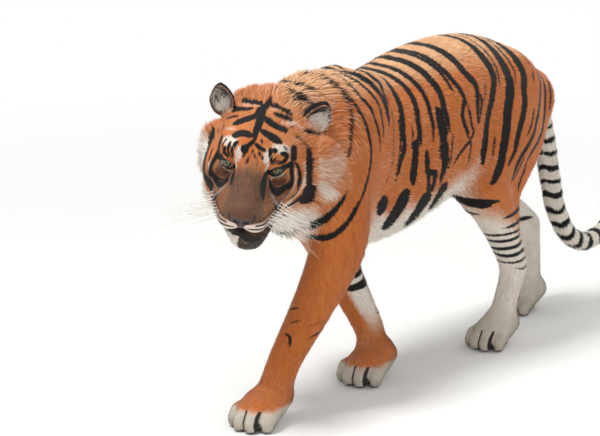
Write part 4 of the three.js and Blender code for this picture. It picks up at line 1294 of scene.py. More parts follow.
# tufts are rooted all over the skin but for its bare dark places and its places of painted shade
triangles = trianglesOf(skin.data)
lie = lieOf(skinPoints, skinShare)
comb = combOf(skinPoints, skinShare)
store(skin.data, "comb", comb, "FLOAT_VECTOR")
kinds = kindShares(skinPoints, skinShare)
corners = skinPoints[triangles]
area = np.linalg.norm(np.cross(corners[:, 1] - corners[:, 0], corners[:, 2] - corners[:, 0]), axis=1) / 2
bareSkinAndShade = marks["dark"][triangles].max(1) < 0.5
wanted = area * blended(kinds, "perArea")[triangles].mean(1) * np.where(bareSkinAndShade, 0, 1)
wanted *= 1
count = np.floor(wanted + random.random(len(wanted))).astype(int)
chosen = np.repeat(np.arange(len(triangles)), count)
weights = random.random((len(chosen), 3)) + 1e-6
weights = -np.log(np.clip(weights, 1e-6, 1 - 1e-6))
weights /= weights.sum(1, keepdims=True)


def atRoots(values):
    values = np.asarray(values)[triangles[chosen]]
    return (values * (weights if values.ndim == 2 else weights[:, :, None])).sum(1)


roots = atRoots(skinPoints)
rootNormals = unit(atRoots(skinNormals))
rootKinds = {name: atRoots(values) for name, values in kinds.items()}
rootComb = atRoots(comb)
total = len(roots)
report(f"{total} tufts rooted")


def grownTo(kind, length, lift, share):
    return mixed(length, hair[kind]["length"], share), mixed(lift, hair[kind]["lift"], share)


# where the hair grows longer or shorter than the rest of its part
growth = {
    "bellyHeight": 0.09,                           # over the trunk's lower edge
    "crownBack": (0.110, 0.145), "crownUp": (0.03, 0.06),
    "napeTurnedUp": (0.15, 0.65), "napeBack": (-0.10, 0.03),
    "chestBack": (-0.17, -0.12), "chestTop": (0.44, 0.50), "chestFoot": (0.34, 0.38),
    "nose": (0, 0.118, -0.07), "nearNose": (0.02, 0.09), "nearEye": (0.016, 0.034), "shorter": 0.55,
    "behindLegs": 0.8, "hollow": 0.74, "hollowDepth": 0.022, "darkInEar": 0.45,
    "lengths": (0.72, 1.25), "widths": (0.75, 1.25),         # the spread from tuft to tuft
}
length = blended(rootKinds, "length")
width = blended(rootKinds, "width")
lift = blended(rootKinds, "lift")
local = toHead(roots)
_, trunkBottom, _ = throughRows(roots[:, 1], trunk["rows"]).T
under = rootKinds["trunk"] * (1 - ramp(0.0, growth["bellyHeight"], roots[:, 2] - trunkBottom))
length, lift = grownTo("belly", length, lift, under)
crownBack = rootKinds["face"] + rootKinds["ruff"]
crownBack = crownBack * ramp(*growth["crownBack"], -local[:, 1]) * ramp(*growth["crownUp"], local[:, 2])
turnedUp = ramp(*growth["napeTurnedUp"], rootNormals[:, 2])
nape = (rootKinds["neck"] + 0.5 * rootKinds["trunk"] + crownBack) * turnedUp
nape = np.clip(nape, 0, 1) * (1 - ramp(*growth["napeBack"], roots[:, 1]))
length, lift = grownTo("nape", length, lift, nape)
chest = 1 - ramp(*growth["chestBack"], roots[:, 1])
chest = chest * (1 - ramp(*growth["chestTop"], roots[:, 2])) * ramp(*growth["chestFoot"], roots[:, 2])
chest = chest * np.clip(1 - rootKinds["face"] - rootKinds["ruff"] - 1.4 * rootKinds["leg"], 0, 1)
chest = chest * ramp(-0.1, 0.5, -rootNormals[:, 1])
length, lift = grownTo("chest", length, lift, chest)
nearNose = 1 - ramp(*growth["nearNose"], np.linalg.norm(local - growth["nose"], axis=1))
nearEye = 1 - ramp(*growth["nearEye"], np.linalg.norm(leftOnly(local) - eyeLocal, axis=1))
length *= 1 - growth["shorter"] * np.maximum(nearNose, nearEye) * rootKinds["face"]
behindLeg = rootKinds["leg"] * ramp(0.2, 0.8, rootNormals[:, 1])
length *= 1 + growth["behindLegs"] * behindLeg
inEar = np.zeros(total)
for name, ear in ears.items():
    place = earPlace(roots, ear)
    facing = rootNormals @ (np.array(ear["open"]) @ headFrame)
    hollow = (fromEarMiddle(place) < growth["hollow"]) & (place[:, 1] < growth["hollowDepth"])
    inEar = np.maximum(inEar, np.where(hollow & (facing > 0.1), rootKinds["ear"], 0))
length, lift = grownTo("inEar", length, lift, inEar)
length *= mixed(*growth["lengths"], random.random(total))
width *= mixed(*growth["widths"], random.random(total))

# locks: neighbouring tufts bend the same way
locks = {
    "broad": 0.22, "fine": 0.12, "loose": 0.16, "calmerFace": 0.6,
    "liftUneven": (0.25, 0.18),                    # from lock to lock, and from tuft to tuft
    "liftLimits": (0.03, 1.1),
    "bend": 0.45, "droop": 0.30, "droopPast": 0.014,
    "sunk": 0.0006, "middleWidth": 0.72,
}
rootLie = atRoots(lie)
flow = unit(rootLie - rootNormals * (rootLie * rootNormals).sum(1, keepdims=True))
sideways = np.cross(rootNormals, flow)
sway = locks["broad"] * wobble(roots, 0.035, 2) + locks["fine"] * wobble(roots, 0.013, 3)
sway = sway + locks["loose"] * random.standard_normal(total)
sway *= mixed(1.0, locks["calmerFace"], rootKinds["face"])
flow = unit(flow + sway[:, None] * sideways)
sideways = np.cross(rootNormals, flow)
byLock, byTuft = locks["liftUneven"]
lift = np.radians(lift * (1 + byLock * wobble(roots, 0.022, 5) + byTuft * random.standard_normal(total)))
lift = np.clip(lift, *locks["liftLimits"])[:, None]
bend = locks["bend"] * lift
half = (width / 2)[:, None]
long = length[:, None]
rise = np.cos(lift) * flow + np.sin(lift) * rootNormals
fall = np.cos(bend) * flow + np.sin(bend) * rootNormals
heavy = locks["droop"] * np.maximum(length - locks["droopPast"], 0) / 0.03
droop = np.array([0, 0, -1]) * heavy[:, None]
start = roots - locks["sunk"] * rootNormals
middle = start + 0.5 * long * rise
end = middle + 0.5 * long * unit(fall + droop)
slim = locks["middleWidth"] * half
corners = np.stack([start - half * sideways, start + half * sideways,
                    middle - slim * sideways, middle + slim * sideways, end], 1)
rootShare = {name: atRoots(values) for name, values in skinShare.items()}
# a long tuft takes its marks from nearer its own outer half, which is what shows
longShare = ramp(0.014, 0.026, length)
early = 0.35 * longShare[:, None]
alongTuft = (early, 0.5 + 0.25 * early, 1 - 0.2 * early)
rootMarks, middleMarks, endMarks = (paint(mixed(start, end, along), rootNormals, rootShare)
                                    for along in alongTuft)
dimmed = inEar * (random.random(total) < growth["darkInEar"])
for layers in (rootMarks, middleMarks, endMarks):
    layers["black"] = mixed(layers["black"], mixed(20.0, -6.0, dimmed), inEar * (layers["black"] > 0))
    layers["brown"] = mixed(layers["brown"], 20.0, inEar)
    layers["pale"] = mixed(layers["pale"], 1.0, inEar)
report("tufts coloured")
floorGap = 0.0008
corners[:, :, 2] = np.maximum(corners[:, :, 2], floorGap)        # no tuft goes through the floor

# a tuft goes to the first piece of coat that takes it, and each piece has its own unwrap of the skin under
# it, round the piece's own axis
def onLeg(kinds):
    return kinds["leg"] + kinds["paw"] > 0.5


def onFore(points, kinds):
    return onLeg(kinds) & (points[:, 1] < parting["foreHind"])


parting = {"foreHind": 0.3, "forelegs": 0.033, "shoulders": 0.10, "rump": 0.42}        # metres back and aside
coatPieces = {
    "coatFace": (lambda p, k: k["face"] > 0.5, "head"),
    "coatRuff": (lambda p, k: k["ruff"] > 0.5, "head"),
    "coatEars": (lambda p, k: k["ear"] > 0.5, "head"),
    "coatNeck": (lambda p, k: k["neck"] > 0.5, "trunk"),
    "coatTail": (lambda p, k: k["tail"] > 0.5, "tail"),
    "coatForelegLeft": (lambda p, k: onFore(p, k) & (p[:, 0] > parting["forelegs"]), "foreLeft"),
    "coatForelegRight": (lambda p, k: onFore(p, k), "foreRight"),
    "coatHindlegLeft": (lambda p, k: onLeg(k) & (p[:, 0] > 0), "hindLeft"),
    "coatHindlegRight": (lambda p, k: onLeg(k), "hindRight"),
    "coatShoulders": (lambda p, k: p[:, 1] < parting["shoulders"], "trunk"),
    "coatFlankLeft": (lambda p, k: (p[:, 1] < parting["rump"]) & (p[:, 0] > 0), "trunk"),
    "coatFlankRight": (lambda p, k: p[:, 1] < parting["rump"], "trunk"),
    "coatRump": (lambda p, k: p[:, 1] >= parting["rump"], "trunk"),
}


def unwrapRound(points, axis):
    if axis == "head":
        q = toHead(points) - faceLook["middle"]
        turn, along = np.arctan2(q[:, 0], q[:, 2]), np.arctan2(q[:, 1], np.hypot(q[:, 0], q[:, 2]))
    elif axis == "trunk":
        turn, along = np.arctan2(points[:, 0], points[:, 2] - 0.58), points[:, 1]
    else:
        rows = trunk["tail"] if axis == "tail" else legs[axis]["chain"]
        arc, centre, _ = alongRows(points, rows)
        q = points - centre
        turn = np.arctan2(q[:, 0], q[:, 1] if axis != "tail" else q[:, 2] + q[:, 1])
        along = points[:, 2] if axis != "tail" else arc
    low, high = along.min(), along.max()
    onMap = np.stack([turn / (2 * math.pi) + 0.5, (along - low) / (high - low)], 1)
    return 0.02 + 0.95 * onMap


def fastMesh(name, points, triangles):
    mesh = bpy.data.meshes.new(name)
    mesh.vertices.add(len(points))
    mesh.vertices.foreach_set("co", np.asarray(points, np.float32).ravel())
    mesh.loops.add(len(triangles) * 3)
    mesh.loops.foreach_set("vertex_index", np.asarray(triangles, np.int32).ravel())
    mesh.polygons.add(len(triangles))
    mesh.polygons.foreach_set("loop_start", np.arange(len(triangles), dtype=np.int32) * 3)
    mesh.update(calc_edges=True)
    return placed(name, mesh)


# a tuft has five corners: two at the root, two in the middle and one at the tip
bladeFaces = np.array([(0, 3, 1), (0, 2, 3), (2, 4, 3)])
bladeOnMap = 0.003 * np.array([(-0.5, 0), (0.5, 0), (-0.36, 0.5), (0.36, 0.5), (0, 1)])
tipShare = np.array([0.0, 0.0, 0.5, 0.5, 1.0])
shade = random.random(total)
bladeNormals = unit(rootNormals + 0.35 * (rootNormals * np.cos(lift) - flow * np.sin(lift))
                    + 0.10 * random.standard_normal((total, 1)) * sideways)
taken = np.zeros(total, bool)
coat = []
for name, (belongs, axis) in coatPieces.items():
    mine = np.flatnonzero(belongs(roots, rootKinds) & ~taken)
    taken[mine] = True
    faces = (np.arange(len(mine))[:, None, None] * 5 + bladeFaces).reshape(-1, 3)
    piece = fastMesh(name, corners[mine].reshape(-1, 3) + standsAt, faces)
    for key in rootMarks:
        rows = [rootMarks[key][mine]] * 2 + [middleMarks[key][mine]] * 2 + [endMarks[key][mine]]
        store(piece.data, key, np.stack(rows, 1))
    store(piece.data, "comb", np.repeat(rootComb[mine], 5, axis=0), "FLOAT_VECTOR")
    store(piece.data, "tip", np.tile(tipShare, len(mine)))
    store(piece.data, "shade", np.repeat(shade[mine], 5))
    store(piece.data, "frosted", np.repeat(longShare[mine], 5))
    layer = piece.data.attributes.new("custom_normal", "FLOAT_VECTOR", "POINT")
    layer.data.foreach_set("vector", np.repeat(bladeNormals[mine], 5, axis=0).astype(np.float32).ravel())
    spread = (unwrapRound(roots[mine], axis)[:, None] + bladeOnMap).reshape(-1, 2)
    bakeMap = piece.data.uv_layers.new(name="OFBake")
    bakeMap.data.foreach_set("uv", spread[faces.ravel()].astype(np.float32).ravel())
    coat.append(piece)
    print(f"    {name}: {len(faces)} triangles")
store(skin.data, "tip", np.full(len(skinPoints), 0.25))
store(skin.data, "shade", np.full(len(skinPoints), 0.5))
store(skin.data, "frosted", np.zeros(len(skinPoints)))
report("coat planted")


class Socket:
    # a value in a material: adding, taking away and so on puts in the Math nodes
    def __init__(self, finish, socket):
        self.finish, self.socket = finish, socket

    def maths(self, operation, *values, clamp=False):
        return self.finish.node("ShaderNodeMath", {"operation": operation, "use_clamp": clamp},
                                dict(enumerate(values)))

    def __add__(self, other):
        return self.maths("ADD", self, other)

    def __radd__(self, other):
        return self.maths("ADD", other, self)

    def __sub__(self, other):
        return self.maths("SUBTRACT", self, other)

    def __rsub__(self, other):
        return self.maths("SUBTRACT", other, self)

    def __mul__(self, other):
        return self.maths("MULTIPLY", self, other)

    def __rmul__(self, other):
        return self.maths("MULTIPLY", other, self)

    def __truediv__(self, other):
        return self.maths("DIVIDE", self, other)

    def clamped(self):
        return self.maths("ADD", self, 0.0, clamp=True)


class Finish:
    # the nodes of a material, or of the world
    def __init__(self, name, owner=None):
        self.material = owner or bpy.data.materials.new(name)
        self.material.use_nodes = True
        self.tree = self.material.node_tree
        self.tree.nodes.clear()

    def node(self, kind, settings=None, inputs=None, output=0):
        made = self.tree.nodes.new(kind)
        for key, value in (settings or {}).items():
            setattr(made, key, value)
        for key, value in (inputs or {}).items():
            if isinstance(value, Socket):
                self.tree.links.new(value.socket, made.inputs[key])
            else:
                made.inputs[key].default_value = value
        return Socket(self, made.outputs[output]) if made.outputs else made

    def attribute(self, name, output="Fac"):
        return self.node("ShaderNodeAttribute", {"attribute_name": name}, output=output)

    def noise(self, vector, scale, detail=2.0):
        return self.node("ShaderNodeTexNoise", {}, {"Vector": vector, "Scale": scale, "Detail": detail})

    def place(self):
        return self.node("ShaderNodeTexCoord", output="Object")

    def bump(self, height, strength, distance):
        return self.node("ShaderNodeBump", {}, {"Strength": strength, "Distance": distance, "Height": height})

    def mix(self, share, first, second, blend="MIX"):
        return self.node("ShaderNodeMix", {"data_type": "RGBA", "blend_type": blend},
                         {0: share, 6: first, 7: second}, 2)

    def over(self, colour, share, rgb):
        return self.mix(share, colour, tint(*rgb))        # a plain colour laid over another one

    def under(self, distance, soft):
        return (0.5 - distance / (2 * soft)).clamped()     # 1 inside a mark, 0 outside

    def seen(self):
        # 1 where the camera looks, straight or by way of metal or glass
        straight, shiny, through = (self.node("ShaderNodeLightPath", output=f"Is {kind} Ray")
                                    for kind in ("Camera", "Glossy", "Transmission"))
        return straight.maths("MAXIMUM", straight, shiny.maths("MAXIMUM", shiny, through))

    def surface(self, shader):
        self.node("ShaderNodeOutputMaterial", {}, {"Surface": shader})
        return self.material

    def close(self, values):
        return self.surface(self.node("ShaderNodeBsdfPrincipled", {}, values))


def tint(red, green, blue):
    return tuple(v / 12.92 if v <= 0.04045 else ((v + 0.055) / 1.055) ** 2.4
                 for v in (red / 255, green / 255, blue / 255)) + (1.0,)


coatLook = {
    # the pale orange for the top of the back holds painted top light as well as a paler coat tone
    "orange": (204, 116, 54), "deepOrange": (164, 82, 34), "spinePaleTopLit": (236, 192, 144),
    "cream": (240, 232, 220), "shadedCream": (196, 184, 168), "grey": (186, 176, 160),
    "black": (14, 11, 10), "brown": (78, 44, 26), "bridge": (72, 48, 34), "tipGrey": (74, 62, 58),
    # the dark of bare skin, also used for the painted shade between the toes, in the mouth and behind the
    # nostrils
    "bareSkinAndShade": (30, 22, 20),
    "frost": 0.42,                                 # how white the tips of some long tufts are
    "raggedEdge": 2.6, "softEdge": 1.0, "sharpEdge": 0.8,        # of the marks, in mm
    "fine": (620.0, 3.0), "locks": (150.0, 2.0), "broad": (9.0, 2.0),        # noises: scale and detail
    "raggedByTuft": 1.4, "brownSofter": 1.6,
    "richUneven": 0.5, "deepShare": 0.55, "shadedShare": 0.45, "greyShare": 0.6, "muzzleShare": 0.88,
    "brownShare": 0.82, "spotShare": 0.92,
    "strand": (0.75, 0.32, 0.20, 0.11),            # how light: all over, by fineness, by tuft and at the tips
    "roughness": 0.72, "bareGloss": 0.3, "bumpDistance": 0.00022,
    "shine": 0.25, "sheen": 0.12, "sheenRoughness": 0.5,
}


def coatFinish(name, bumpStrength):
    look = coatLook
    finish = Finish(name)
    comb = finish.attribute("comb", "Vector")
    fine = finish.noise(comb, *look["fine"])
    locks = finish.noise(comb, *look["locks"])
    broad = finish.noise(finish.place(), *look["broad"])
    shade = finish.attribute("shade")
    tip = finish.attribute("tip")
    ragged = (fine - 0.5) * look["raggedEdge"] + (locks - 0.5) * look["raggedEdge"]
    ragged = ragged + (shade - 0.5) * look["raggedByTuft"]
    # orange that pales along the top of the back, a paler tone with painted top light in it, and cream
    rich = (finish.attribute("rich") + (broad - 0.5) * look["richUneven"]).clamped()
    orange = finish.mix(rich, tint(*look["spinePaleTopLit"]), tint(*look["orange"]))
    deep = ((locks - 0.42) * 2.2).clamped() * look["deepShare"]
    orange = finish.over(orange, deep, look["deepOrange"])
    shaded = ((locks - 0.40) * 1.8).clamped() * look["shadedShare"]
    cream = finish.over(tint(*look["cream"]), shaded, look["shadedCream"])
    pale = finish.attribute("pale") * 1.3 - 0.15 + (locks - 0.5) * 0.5 + (shade - 0.5) * 0.25
    pale = pale.clamped()
    # some of the long tufts are tipped with white
    frost = ((shade - 0.55) * 2.2).clamped() * tip * finish.attribute("frosted")
    colour = finish.mix((pale + frost * look["frost"]).clamped(), orange, cream)
    colour = finish.over(colour, finish.attribute("grey") * pale * look["greyShare"], look["grey"])
    # the muzzle, and then the marks from brown to bare skin and painted shade
    muzzle = finish.over(tint(*look["bridge"]), (broad * 0.4 + fine * 0.5).clamped(), look["tipGrey"])
    onMuzzle = (finish.attribute("bridge") * (look["muzzleShare"] + (locks - 0.5) * 0.5)).clamped()
    colour = finish.mix(onMuzzle, colour, muzzle)
    brown = finish.under(finish.attribute("brown") + ragged, look["softEdge"] * look["brownSofter"])
    black = finish.under(finish.attribute("black") + ragged, look["softEdge"])
    spots = finish.under(finish.attribute("spots"), look["sharpEdge"])
    bareSkinAndShade = finish.under(finish.attribute("dark"), look["sharpEdge"])
    for share, name in ((brown * look["brownShare"], "brown"), (black, "black"),
                        (spots * look["spotShare"], "black"), (bareSkinAndShade, "bareSkinAndShade")):
        colour = finish.over(colour, share, look[name])
    allOver, byFine, byTuft, byTip = look["strand"]
    strand = allOver + fine * byFine + (shade - 0.5) * byTuft + tip * byTip
    shading = finish.node("ShaderNodeCombineXYZ", {}, {0: strand, 1: strand, 2: strand})
    return finish.close({"Base Color": finish.mix(1.0, colour, shading, "MULTIPLY"),
                         "Roughness": look["roughness"] - bareSkinAndShade * look["bareGloss"],
                         "Normal": finish.bump(fine * 0.6 + locks, bumpStrength, look["bumpDistance"]),
                         "Specular IOR Level": look["shine"], "Sheen Weight": look["sheen"],
                         "Sheen Roughness": look["sheenRoughness"]})


def dress(piece, material):
    piece.data.materials.clear()
    piece.data.materials.append(material)
    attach(piece, "root")


skinMaterial = coatFinish("coatSkin", 0.55)
tuftMaterial = coatFinish("coatTufts", 0.25)
dress(skin, skinMaterial)
for piece in coat:
    dress(piece, tuftMaterial)
flesh = [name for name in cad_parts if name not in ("eye_left", "eye_right", "nose")]
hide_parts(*flesh)

# eyes: rings of a ball about the way each eye looks, with a low bulge over the iris
eye = {
    "looks": (0.10, 0.86, 0.50),
    "rings": 48, "sides": 64,
    "slack": 0.0001,
    "bulge": 0.0006,
    "pupil": 2.9, "iris": 10.2,                    # mm from the middle, over the ball
    "rimFrom": 0.90, "whiteFrom": 1.14,            # of the iris
    "gold": (126, 120, 84), "olive": (74, 76, 52), "rim": (38, 30, 18), "white": (176, 158, 140),
}


def discFaces(rings, sides):
    # a fan about point 0, then bands of four-sided faces from ring to ring
    faces = [(0, 1 + i, 1 + (i + 1) % sides) for i in range(sides)]
    for ring in range(rings - 1):
        first = 1 + ring * sides
        faces += [(first + i, first + sides + i, first + sides + (i + 1) % sides, first + (i + 1) % sides)
                  for i in range(sides)]
    return faces


def eyeball(name, side):
    looks = unit(mirrored(eye["looks"], side)) @ headFrame
    across = unit(np.cross(looks, (0, 0, 1)))
    above = np.cross(across, looks)
    centre = np.mean(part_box(name), axis=0)
    radius = skull["eyeRadius"] - eye["slack"]
    turns = np.linspace(0, math.pi, eye["rings"] + 1)[1:-1]
    spins = np.arange(eye["sides"]) / eye["sides"] * 2 * math.pi
    turn, spin = np.meshgrid(turns, spins, indexing="ij")
    around = np.cos(spin)[..., None] * across + np.sin(spin)[..., None] * above
    arc = turn * radius * 1000
    grown = radius + eye["bulge"] * (1 - ramp(0.3 * eye["iris"], 1.1 * eye["iris"], arc))
    ball = grown[..., None] * (np.cos(turn)[..., None] * looks + np.sin(turn)[..., None] * around)
    ball = np.vstack([(radius + eye["bulge"]) * looks[None], ball.reshape(-1, 3), -radius * looks[None]])
    sides, rings = eye["sides"], eye["rings"] - 1
    last, end = 1 + (rings - 1) * sides, 1 + rings * sides
    faces = discFaces(rings, sides) + [(last + i, end, last + (i + 1) % sides) for i in range(sides)]
    piece = meshFrom("eyeball" + name[4:].title(), ball + centre, faces)
    piece.data.shade_smooth()
    store(piece.data, "ring", np.concatenate([[0], arc.ravel(), [math.pi * radius * 1000]]))
    fibre = np.concatenate([[looks * 0], (around * 3).reshape(-1, 3), [looks * 0]])
    store(piece.data, "fibre", fibre, "FLOAT_VECTOR")
    dress(piece, eyeMaterial)
    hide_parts(name)


finish = Finish("eyeGlass")
ring, fibre = finish.attribute("ring"), finish.attribute("fibre", "Vector")
streak = finish.noise(fibre, 6.0, 3.0)
outward = (ring / eye["iris"] + (streak - 0.5) * 0.5).clamped()
colour = finish.mix(outward, tint(*eye["gold"]), tint(*eye["olive"]))
colour = finish.over(colour, finish.under(eye["iris"] * eye["rimFrom"] - ring, 0.9), eye["rim"])
colour = finish.over(colour, finish.under(eye["iris"] * eye["whiteFrom"] - ring, 0.8), eye["white"])
colour = finish.mix(finish.under(ring - eye["pupil"], 0.35), colour, (0.003, 0.003, 0.003, 1))
eyeMaterial = finish.close({"Base Color": colour, "Roughness": 0.06 + streak * 0.04,
                            "Normal": finish.bump(streak, 0.05, 0.0004), "Specular IOR Level": 0.5})
eyeball("eye_left", 1)
eyeball("eye_right", -1)
report("eyes set")

# nose: a broad pad over a narrow lower part, with comma nostrils and a groove down the middle
nose = {
    "pad": ((0, 0.1245, -0.0500), (0.0230, 0.0150, 0.0105)),
    "wing": ((0.0145, 0.1240, -0.0560), (0.0095, 0.0140, 0.0085)),
    "foot": ((0, 0.1270, -0.0640), (0.0110, 0.0125, 0.0105)),
    "nostril": ((0.0118, 0.1395, -0.0565), (0.0062, 0.0075, 0.0032)),
    "nostrilTrail": [(0.0165, 0.1390, -0.0570, 0.0016), (0.0200, 0.1330, -0.0600, 0.0012)],
    "groove": [(0, 0.1405, -0.0560, 0.0006), (0, 0.1420, -0.0640, 0.0010), (0, 0.138, -0.0750, 0.0012)],
    "reach": ((-0.030, 0.030), (0.104, 0.148), (-0.080, -0.036)),
    "step": 0.0011,
    # the inside colour is painted shade, near black in the nostril hollows and in a ring round them
    "leather": (78, 58, 52), "freckle": (30, 23, 23), "inside": (6, 4, 4),
}


def noseForm(local):
    folded = leftOnly(local)
    form = softMin(ellipsoid(local, *nose["pad"]), ellipsoid(folded, *nose["wing"]), 0.006)
    form = softMin(form, ellipsoid(local, *nose["foot"]), 0.007)
    form = softMax(form, -ellipsoid(folded, *nose["nostril"]), 0.0025)
    form = softMax(form, -tube(folded, nose["nostrilTrail"], 1, 2), 0.002)
    return softMax(form, -tube(local, nose["groove"], 1, 2), 0.0015)


noseAxes = [gridAxis(low, high, [(nose["step"], farAway)]) for low, high in nose["reach"]]
points, faces = surfaceNets(noseAxes, noseForm)
points = settle(points, noseForm, 2)
piece = meshFrom("noseLeather", fromHead(points) + standsAt, faces.tolist())
piece.data.shade_smooth()
store(piece.data, "hollow", np.minimum(ellipsoid(leftOnly(points), *nose["nostril"]) * 1000, farMark))
finish = Finish("noseLeather")
grain = finish.node("ShaderNodeTexVoronoi", {}, {"Vector": finish.place(), "Scale": 900.0})
mottle = finish.noise(finish.place(), 160.0, 3.0)
colour = finish.mix(((mottle - 0.5) * 3).clamped(), tint(*nose["leather"]), tint(*nose["freckle"]))
# painted shade in the nostril hollows and a ring of it round them
colour = finish.over(colour, finish.under(finish.attribute("hollow") - 2.4, 1.4), nose["inside"])
dress(piece, finish.close({"Base Color": colour, "Roughness": 0.34 + mottle * 0.2,
                           "Normal": finish.bump(grain, 0.4, 0.0005)}))
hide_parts("nose")
report("nose set")

# whiskers: long white tapered bristles out of the four rows, and one over each eye
whisker = {
    "rows": (0.058, 0.066, 0.074, 0.082), "perRow": 7,
    "firstAhead": 0.030, "apart": 0.0115, "stagger": 0.004,
    "aside": 0.070, "thick": 0.00085, "long": (0.085, 0.150), "taper": 0.85,
    "longerBehind": (0.75, 0.07), "spread": 0.25, "droop": (0.05, -0.55, -0.30),
    "brow": (0.040, 0.03, 0.034), "browLong": (0.026, 0.012), "browDroop": (0.15, -0.35, 0.0),
    "steps": 12, "sides": 5,
    "reach": 0.188,                                # none goes farther out to the side than this
    "white": (240, 236, 228), "shaded": (190, 180, 168),
}


def bristle(root, way, long, thick, droop):
    steps = np.linspace(0, 1, whisker["steps"])
    spinePaleTopLit = root + way * (long * steps)[:, None] + droop * (long * steps ** 2)[:, None]
    across = unit(np.cross(way, (0.3, 0.2, 1)))
    above = unit(np.cross(across, way))
    turns = np.arange(whisker["sides"]) / whisker["sides"] * 2 * math.pi
    circle = np.cos(turns)[:, None] * across + np.sin(turns)[:, None] * above
    sizes = thick * (1 - whisker["taper"] * steps)
    outline = spinePaleTopLit[:, None] + sizes[:, None, None] * circle
    sides = whisker["sides"]
    last = (len(steps) - 1) * sides
    faces = [(first + i, first + (i + 1) % sides, first + sides + (i + 1) % sides, first + sides + i)
             for first in range(0, last, sides) for i in range(sides)]
    faces.append(tuple(range(sides))[::-1])
    faces.append(tuple(last + i for i in range(sides)))
    return outline.reshape(-1, 3), faces


def ontoSkin(local):
    spot = fromHead(local)
    nearest = np.argmin(np.linalg.norm(skinPoints - spot, axis=1))
    return skinPoints[nearest], skinNormals[nearest]


def muzzleBristle(side, row, place):
    # where it grows, which way it points, how long it is and how it droops
    ahead = whisker["firstAhead"] + whisker["apart"] * place + whisker["stagger"] * (row % 2)
    turn = random.random(4)
    way = np.array((side * 1.0, 0.95 - 0.12 * place, 0.10 - 0.16 * row))
    way = unit(way + whisker["spread"] * (turn[:3] - 0.5))
    base, more = whisker["longerBehind"]
    long = mixed(*whisker["long"], turn[3]) * (base + more * (5 - place))
    root = (side * whisker["aside"], ahead, -whisker["rows"][row])
    return root, way, long, mirrored(whisker["droop"], side)


def browBristle(side):
    turn = random.random(4)
    way = unit(np.array((side * 0.15, 0.35, 0.9)) + 0.2 * (turn[:3] - 0.5))
    base, more = whisker["browLong"]
    return mirrored(whisker["brow"], side), way, base + more * turn[3], mirrored(whisker["browDroop"], side)


whiskerPoints, whiskerFaces, used = [], [], 0
for side in (1, -1):
    bristles = [muzzleBristle(side, row, place) for row in range(len(whisker["rows"]))
                for place in range(whisker["perRow"])]
    bristles.append(browBristle(side))
    for local, way, long, droop in bristles:
        spot, normal = ontoSkin(local)
        outward = side * ((way + droop) @ headFrame)[0]
        if outward > 0:
            long = min(long, (whisker["reach"] - side * spot[0]) / outward)
        made, sidesMade = bristle(spot - 0.001 * normal, way @ headFrame, long, whisker["thick"],
                                  droop @ headFrame)
        whiskerPoints.append(made)
        whiskerFaces += [tuple(k + used for k in face) for face in sidesMade]
        used += len(made)
piece = meshFrom("whiskers", np.vstack(whiskerPoints) + standsAt, whiskerFaces)
piece.data.shade_smooth()
finish = Finish("whiskerWhite")
streak = finish.noise(finish.place(), 60.0)
colour = finish.mix(streak * 0.3, tint(*whisker["white"]), tint(*whisker["shaded"]))
dress(piece, finish.close({"Base Color": colour, "Roughness": 0.35 + streak * 0.1}))
report("whiskers set")

# a pale floor that fades into a white surround, soft lamps, and the camera
studio = {
    "floor": (236, 236, 234), "floorShade": (226, 226, 224),
    "rings": (0.6, 1.2, 2.0, 3.0, 5.0, 9.0), "spokes": 64,
    "fade": (0.9, 3.2),                            # where the floor starts and ends going over into white
    "ambient": 0.50,
    "lamps": [((-0.5, -2.2, 5.2), 1.4, 215.0), ((3.6, -2.4, 2.6), 2.8, 34.0), ((0.6, 3.4, 3.6), 2.8, 60.0)],
    "aim": (0.032, -0.148, 0.455), "azimuth": 40.0, "elevation": 14.5, "distance": 7.0, "lens": 184.0,
}
white = (1, 1, 1, 1)
turns = [k * math.tau / studio["spokes"] for k in range(studio["spokes"])]
points = [(0.0, 0.0, 0.0)] + [(reach * math.cos(turn), reach * math.sin(turn), 0.0)
                              for reach in studio["rings"] for turn in turns]
floor = meshFrom("floor", points, discFaces(len(studio["rings"]), studio["spokes"]))
finish = Finish("floorPaper")
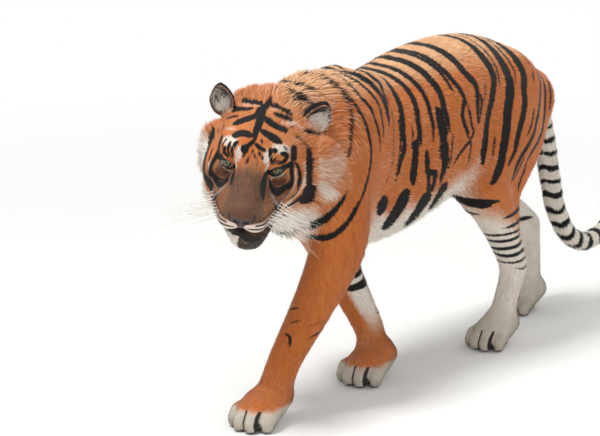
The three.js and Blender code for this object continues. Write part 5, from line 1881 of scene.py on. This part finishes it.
place = finish.place()
colour = finish.mix(finish.noise(place, 3.0, 2.0) * 0.2, tint(*studio["floor"]), tint(*studio["floorShade"]))
paper = finish.node("ShaderNodeBsdfPrincipled", {}, {"Base Color": colour, "Roughness": 0.9})
bright = finish.node("ShaderNodeEmission", {}, {"Color": white, "Strength": 1.0})
# away from the animal the paper goes over into the white behind it
fromMiddle = finish.node("ShaderNodeVectorMath", {"operation": "LENGTH"}, {0: place}, "Value")
away = finish.node("ShaderNodeMapRange", {"interpolation_type": "SMOOTHSTEP"},
                   {"Value": fromMiddle, "From Min": studio["fade"][0], "From Max": studio["fade"][1]})
faded = finish.node("ShaderNodeMixShader", {}, {0: away * finish.seen(), 1: paper, 2: bright})
floor.data.materials.append(finish.surface(faded))

world = bpy.data.worlds.new("studio")
bpy.context.scene.world = world
finish = Finish("studio", world)
ambient, plain = (finish.node("ShaderNodeBackground", {}, {"Color": white, "Strength": strength})
                  for strength in (studio["ambient"], 1.0))
shown = finish.node("ShaderNodeMixShader", {}, {0: finish.seen(), 1: ambient, 2: plain})
finish.node("ShaderNodeOutputWorld", {}, {"Surface": shown})

aim = Vector(standsAt + np.array(studio["aim"]))
for i, (spot, size, watts) in enumerate(studio["lamps"]):
    light = bpy.data.lights.new(f"softLamp{i}", "AREA")
    light.energy, light.size = watts, size
    lamp = placed(light.name, light)
    lamp.location = spot
    lamp.rotation_euler = (aim - lamp.location).to_track_quat("-Z", "Y").to_euler()
turn, rise = math.radians(studio["azimuth"]), math.radians(studio["elevation"])
back = Vector((math.sin(turn) * math.cos(rise), -math.cos(turn) * math.cos(rise), math.sin(rise)))
lens = bpy.data.cameras.new("camera")
lens.lens, lens.sensor_width, lens.clip_end = studio["lens"], 36.0, 60.0
camera = placed("camera", lens)
camera.location = aim + back * studio["distance"]
camera.rotation_euler = (-back).to_track_quat("-Z", "Y").to_euler()
bpy.context.scene.camera = camera
bpy.context.scene.view_settings.view_transform = "Standard"

bpy.context.view_layer.update()
report("ready")
